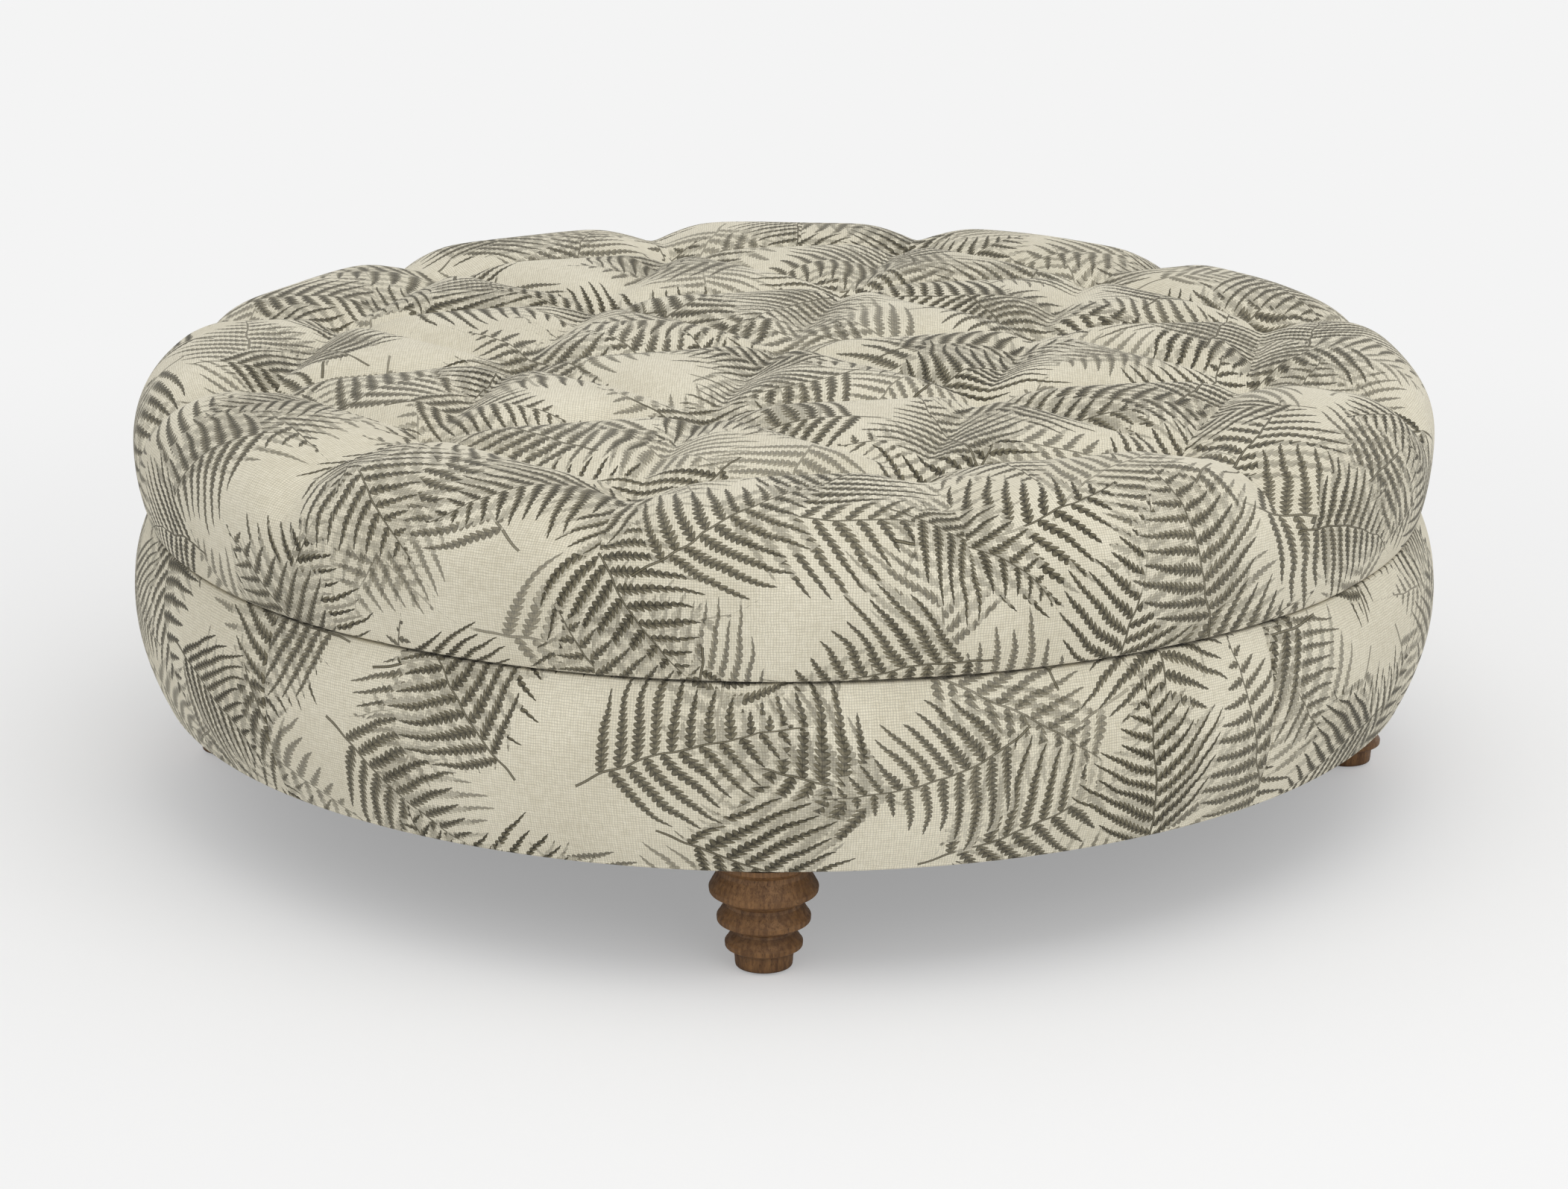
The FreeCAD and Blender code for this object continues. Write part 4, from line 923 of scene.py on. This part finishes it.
def cloth_disc(radius, top):
    """A round cloth with an opening at each bolt, as points and faces.

    At radius r inside the radius o of the ring's opening, it hangs (1 - (r / o) ** 2) ** 2
    of the sag lower than at its edge.
    """
    close = BOLT_OPENING / FOOT_CIRCLE
    even = np.arange(CLOTH_COLUMNS) * 2 * math.pi / CLOTH_COLUMNS
    bolts = np.arange(4) * math.pi / 2
    beside = np.concatenate([bolts + close, bolts - close])
    angles = np.sort(np.concatenate([even[off_bolt(even) > close * 1.2], beside]) % (2 * math.pi))
    hole = (FOOT_CIRCLE - BOLT_OPENING, FOOT_CIRCLE + BOLT_OPENING)
    outer = (SAG_RADIUS + 20 * MM, *hole, radius - STAPLE_MARGIN, radius)
    rings = np.concatenate([np.linspace(0.01, SAG_RADIUS, CLOTH_RINGS), outer])
    count = len(angles)
    ring, angle = np.meshgrid(rings, angles, indexing="ij")
    sag = CLOTH_SAG * np.clip(1 - (ring / SAG_RADIUS) ** 2, 0, 1) ** 2
    upper = np.stack([ring * np.sin(angle), -ring * np.cos(angle), top - sag], axis=2).reshape(-1, 3)
    upper = np.concatenate([upper, [[0, 0, top - CLOTH_SAG]]])
    faces = grid_faces(len(rings), count, wrap=True)[:, ::-1]
    column = faces[:, 3] % count
    step = (angles[(column + 1) % count] - angles[column]) % (2 * math.pi)
    at_bolt = off_bolt(angles[column] + step / 2) < close / 2
    at_hole = faces[:, 3] // count == len(rings) - 4
    faces = [tuple(face) for face in faces[~(at_bolt & at_hole)]]
    faces += [(len(upper) - 1, column, (column + 1) % count) for column in range(count)]
    edges = {(face[i - 1], face[i]) for face in faces for i in range(len(face))}
    rim = sorted((a, b) for a, b in edges if (b, a) not in edges)
    size = len(upper)
    under = [tuple(size + corner for corner in face[::-1]) for face in faces]
    walls = [(b, a, a + size, b + size) for a, b in rim]
    return np.concatenate([upper, upper - np.array([0, 0, CLOTH_THICK])]), faces + under + walls


dust_cloth, tree, shader = new_material("dust_cloth", Roughness=0.95)
place = node_of(tree, "ShaderNodeTexCoord", out=3)
fibres = node_of(tree, "ShaderNodeTexNoise", Vector=place, Scale=900.0, Detail=3.0, Roughness=0.7)
dimples = node_of(tree, "ShaderNodeTexVoronoi", Vector=place, Scale=620.0)
black = blend_of(tree, fibres.ramp(0.35, 0.65), (0.012, 0.012, 0.013), (0.035, 0.035, 0.038))
feed(tree, shader.inputs["Base Color"], black)
bump(tree, shader, dimples + fibres * 0.5, 0.0004)

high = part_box("dust_cover")[1]
points, faces = cloth_disc(high.x, high.z)
flat = points[[corner for face in faces for corner in face], :2]
dust = surface_object("dust_cloth_disc", points, faces, flat, dust_cloth)
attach(dust, "root")
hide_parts("dust_cover")


# Each foot is turned from one piece of beech and stained brown: a drum at the floor, three
# flared rims with undercut necks, and a collar that meets the stool. A moulded glide is let
# into its underside.
FOOT_SEGMENTS = 112
GOUGE_PITCH = 0.9 * MM
GOUGE_DEPTH = 0.06 * MM
# Radius, height and rounding of each corner from the glide up, in millimetres
FOOT_CORNERS = (
    (15.0, 2.0, 0.0), (24.2, 2.0, 1.4), (25.2, 14.0, 1.2), (24.9, 15.6, 0.8), (32.9, 19.6, 1.6),
    (33.1, 23.6, 2.0), (26.4, 33.2, 1.2), (25.9, 35.6, 1.0), (39.6, 42.6, 1.8), (39.9, 46.8, 2.2),
    (33.0, 57.4, 1.2), (32.5, 60.4, 1.0), (46.1, 68.8, 1.8), (46.4, 73.2, 2.2), (39.0, 86.8, 1.4),
    (38.6, 91.0, 1.2), (45.8, 96.4, 1.2), (46.0, 100.9, 0.0),
)


def rounded_line(corners, steps=6):
    """The outline through the corners, each turned into an arc of its own radius."""
    points = np.array([corner[:2] for corner in corners])
    line = [points[:1]]
    for index in range(1, len(points) - 1):
        before, here, after = points[index - 1], points[index], points[index + 1]
        back = (before - here) / np.linalg.norm(before - here)
        on = (after - here) / np.linalg.norm(after - here)
        half = math.acos(np.clip(back @ on, -1, 1)) / 2
        bend = corners[index][2]
        room = 0.48 * min(np.linalg.norm(before - here), np.linalg.norm(after - here))
        trim = min(bend / math.tan(half), room)
        bend = trim * math.tan(half)
        middle = here + (back + on) / np.linalg.norm(back + on) * bend / math.sin(half)
        start = here + back * trim - middle
        end = here + on * trim - middle
        share = np.linspace(0, 1, steps)[:, None]
        sweep = (1 - share) * start + share * end
        line.append(middle + sweep / np.linalg.norm(sweep, axis=1, keepdims=True) * bend)
    line.append(points[-1:])
    return np.concatenate(line)


def foot_surface(angle):
    """One foot: its outline turned about an upright axis, with faint ridges left by the gouge."""
    line = rounded_line(FOOT_CORNERS) * MM
    run = run_length(line)
    fine_run = np.unique(np.concatenate([run, np.arange(0, run[-1], 1.1 * MM)]))
    radius = np.interp(fine_run, run, line[:, 0])
    height = np.interp(fine_run, run, line[:, 1])
    ridge = GOUGE_DEPTH * np.sin(fine_run / GOUGE_PITCH)
    turn = np.arange(FOOT_SEGMENTS) * 2 * math.pi / FOOT_SEGMENTS
    radius = (radius + ridge)[:, None]
    x = radius * np.sin(turn) + FOOT_CIRCLE * math.sin(angle)
    y = -radius * np.cos(turn) - FOOT_CIRCLE * math.cos(angle)
    z = height[:, None] + 0 * turn
    return np.stack([x, y, z], axis=2)


def stained_beech():
    """Brown stain over beech: darker in the pores, with painted shade in the necks from ambient
    occlusion, and a worn satin varnish.
    """
    material, tree, shader = new_material("stained_beech", Roughness=0.5)
    shader.inputs["Specular IOR Level"].default_value = 0.35
    place = node_of(tree, "ShaderNodeTexCoord", out=3)
    grain = use_group(tree, WOOD_GRAIN, Place=place, Lines=330.0, Length=12.0)
    colour = blend_of(tree, grain["Tone"], (0.235, 0.118, 0.042), (0.105, 0.048, 0.017))
    colour = blend_of(tree, grain["Pores"] * 0.8, colour, (0.032, 0.014, 0.006))
    # Painted shade: ambient occlusion darkens the colour in the undercut necks and under the rims
    neck_shade_probe = tree.nodes.new("ShaderNodeAmbientOcclusion")
    neck_shade_probe.inputs["Distance"].default_value = 0.012
    shadow = Signal(tree, neck_shade_probe.outputs["AO"]).ramp(0.25, 0.95)
    colour = blend_of(tree, (1.0 - shadow) * 0.75, colour, (0.03, 0.014, 0.007))
    feed(tree, shader.inputs["Base Color"], colour)
    feed(tree, shader.inputs["Roughness"], grain["Tone"] * 0.14 + 0.42)
    bump(tree, shader, grain["Tone"] * 0.5 - grain["Pores"], 0.0002)
    return material


beech = stained_beech()
glide_plastic, tree, shader = new_material("glide_plastic", Roughness=0.5)
place = node_of(tree, "ShaderNodeTexCoord", out=3)
speck = node_of(tree, "ShaderNodeTexNoise", Vector=place, Scale=700.0, Detail=3.0)
moulded = blend_of(tree, speck.ramp(0.3, 0.7), (0.10, 0.085, 0.07), (0.15, 0.13, 0.11))
feed(tree, shader.inputs["Base Color"], moulded)
bump(tree, shader, speck, 0.0001)

for index, leg in enumerate(LEGS):
    points = foot_surface(index * math.pi / 2)
    rows = points.shape[0]
    faces = [tuple(face) for face in grid_faces(rows, FOOT_SEGMENTS, wrap=True)]
    around = np.arange(FOOT_SEGMENTS)
    faces += [tuple(around[::-1]), tuple((rows - 1) * FOOT_SEGMENTS + around)]
    flat = np.zeros((sum(len(face) for face in faces), 2))
    foot = surface_object(f"turned_foot_{leg}", points.reshape(-1, 3), faces, flat, beech)
    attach(foot, "root")
    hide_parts(f"foot_{leg}")
    dress(f"foot_glide_{leg}", glide_plastic)


# A pale studio floor with a soft edge into a pale backdrop, and the camera where the
# photograph was taken from: 17 degrees above level, a long lens about four metres away.
CAMERA_DISTANCE = 4.021
CAMERA_RISE = math.radians(17.05)
CAMERA_TURN = math.radians(1.8)
LENS_WIDTH = 36.0
FOCAL_LENGTH = 96.6
TARGET_HEIGHT = 0.1622
BACKDROP = 0.905
SKY = 0.80
SHADOW_LIFT = 0.34
FLOOR_REACH = 14.0

floor_material, tree, shader = new_material("studio_floor", Roughness=0.9)
shader.inputs["Specular IOR Level"].default_value = 0.0
place = node_of(tree, "ShaderNodeTexCoord", out=3)
away = node_of(tree, "ShaderNodeVectorMath", out=1, settings={"operation": "LENGTH"}, Vector=place)
feed(tree, shader.inputs["Base Color"], (0.90, 0.90, 0.90, 1.0))
paper = tree.nodes.new("ShaderNodeEmission")
paper.inputs["Color"].default_value = (BACKDROP, BACKDROP, BACKDROP, 1.0)
seen = tree.nodes.new("ShaderNodeLightPath").outputs["Is Camera Ray"]
mix = tree.nodes.new("ShaderNodeMixShader")
open_floor = away.ramp(0.8, 1.9) * (1.0 - SHADOW_LIFT) + SHADOW_LIFT
feed(tree, mix.inputs[0], open_floor * Signal(tree, seen))
tree.links.new(shader.outputs[0], mix.inputs[1])
tree.links.new(paper.outputs[0], mix.inputs[2])
tree.links.new(mix.outputs[0], tree.nodes["Material Output"].inputs["Surface"])
edge = FLOOR_REACH
floor_mesh = bpy.data.meshes.new("studio_floor")
corners = [(-edge, -edge, 0), (edge, -edge, 0), (edge, edge, 0), (-edge, edge, 0)]
floor_mesh.from_pydata(corners, [], [(0, 1, 2, 3)])
floor_mesh.materials.append(floor_material)
floor = bpy.data.objects.new("studio_floor", floor_mesh)
bpy.context.scene.collection.objects.link(floor)

world = bpy.data.worlds.new("studio")
bpy.context.scene.world = world
world.use_nodes = True
tree = world.node_tree
sky = tree.nodes["Background"]
sky.inputs["Color"].default_value = (1.0, 1.0, 1.0, 1.0)
path = tree.nodes.new("ShaderNodeLightPath")
rays = Signal(tree, path.outputs["Is Camera Ray"]) + Signal(tree, path.outputs["Is Glossy Ray"])
rays = (rays + Signal(tree, path.outputs["Is Transmission Ray"])).clamp()
feed(tree, sky.inputs["Strength"], rays * (BACKDROP - SKY) + SKY)


def soft_lamp(name, place, size, watts):
    """A square lamp at that place, facing the stool."""
    lamp = bpy.data.lights.new(name, "AREA")
    lamp.size = size
    lamp.energy = watts
    holder = bpy.data.objects.new(name, lamp)
    holder.location = place
    holder.rotation_euler = (-holder.location).to_track_quat("-Z", "Y").to_euler()
    bpy.context.scene.collection.objects.link(holder)


soft_lamp("overhead_softbox", (0.5, -0.9, 3.2), 2.6, 26.0)
soft_lamp("front_softbox", (1.6, -3.4, 1.7), 1.8, 14.0)

lens = bpy.data.cameras.new("camera")
lens.sensor_width = LENS_WIDTH
lens.lens = FOCAL_LENGTH
camera = bpy.data.objects.new("camera", lens)
flat_reach = CAMERA_DISTANCE * math.cos(CAMERA_RISE)
camera.location = (
    flat_reach * math.sin(CAMERA_TURN),
    -flat_reach * math.cos(CAMERA_TURN),
    TARGET_HEIGHT + CAMERA_DISTANCE * math.sin(CAMERA_RISE),
)
camera.rotation_euler = (math.pi / 2 - CAMERA_RISE, 0.0, CAMERA_TURN)
bpy.context.scene.collection.objects.link(camera)
bpy.context.scene.camera = camera
bpy.context.scene.view_settings.view_transform = "Standard"
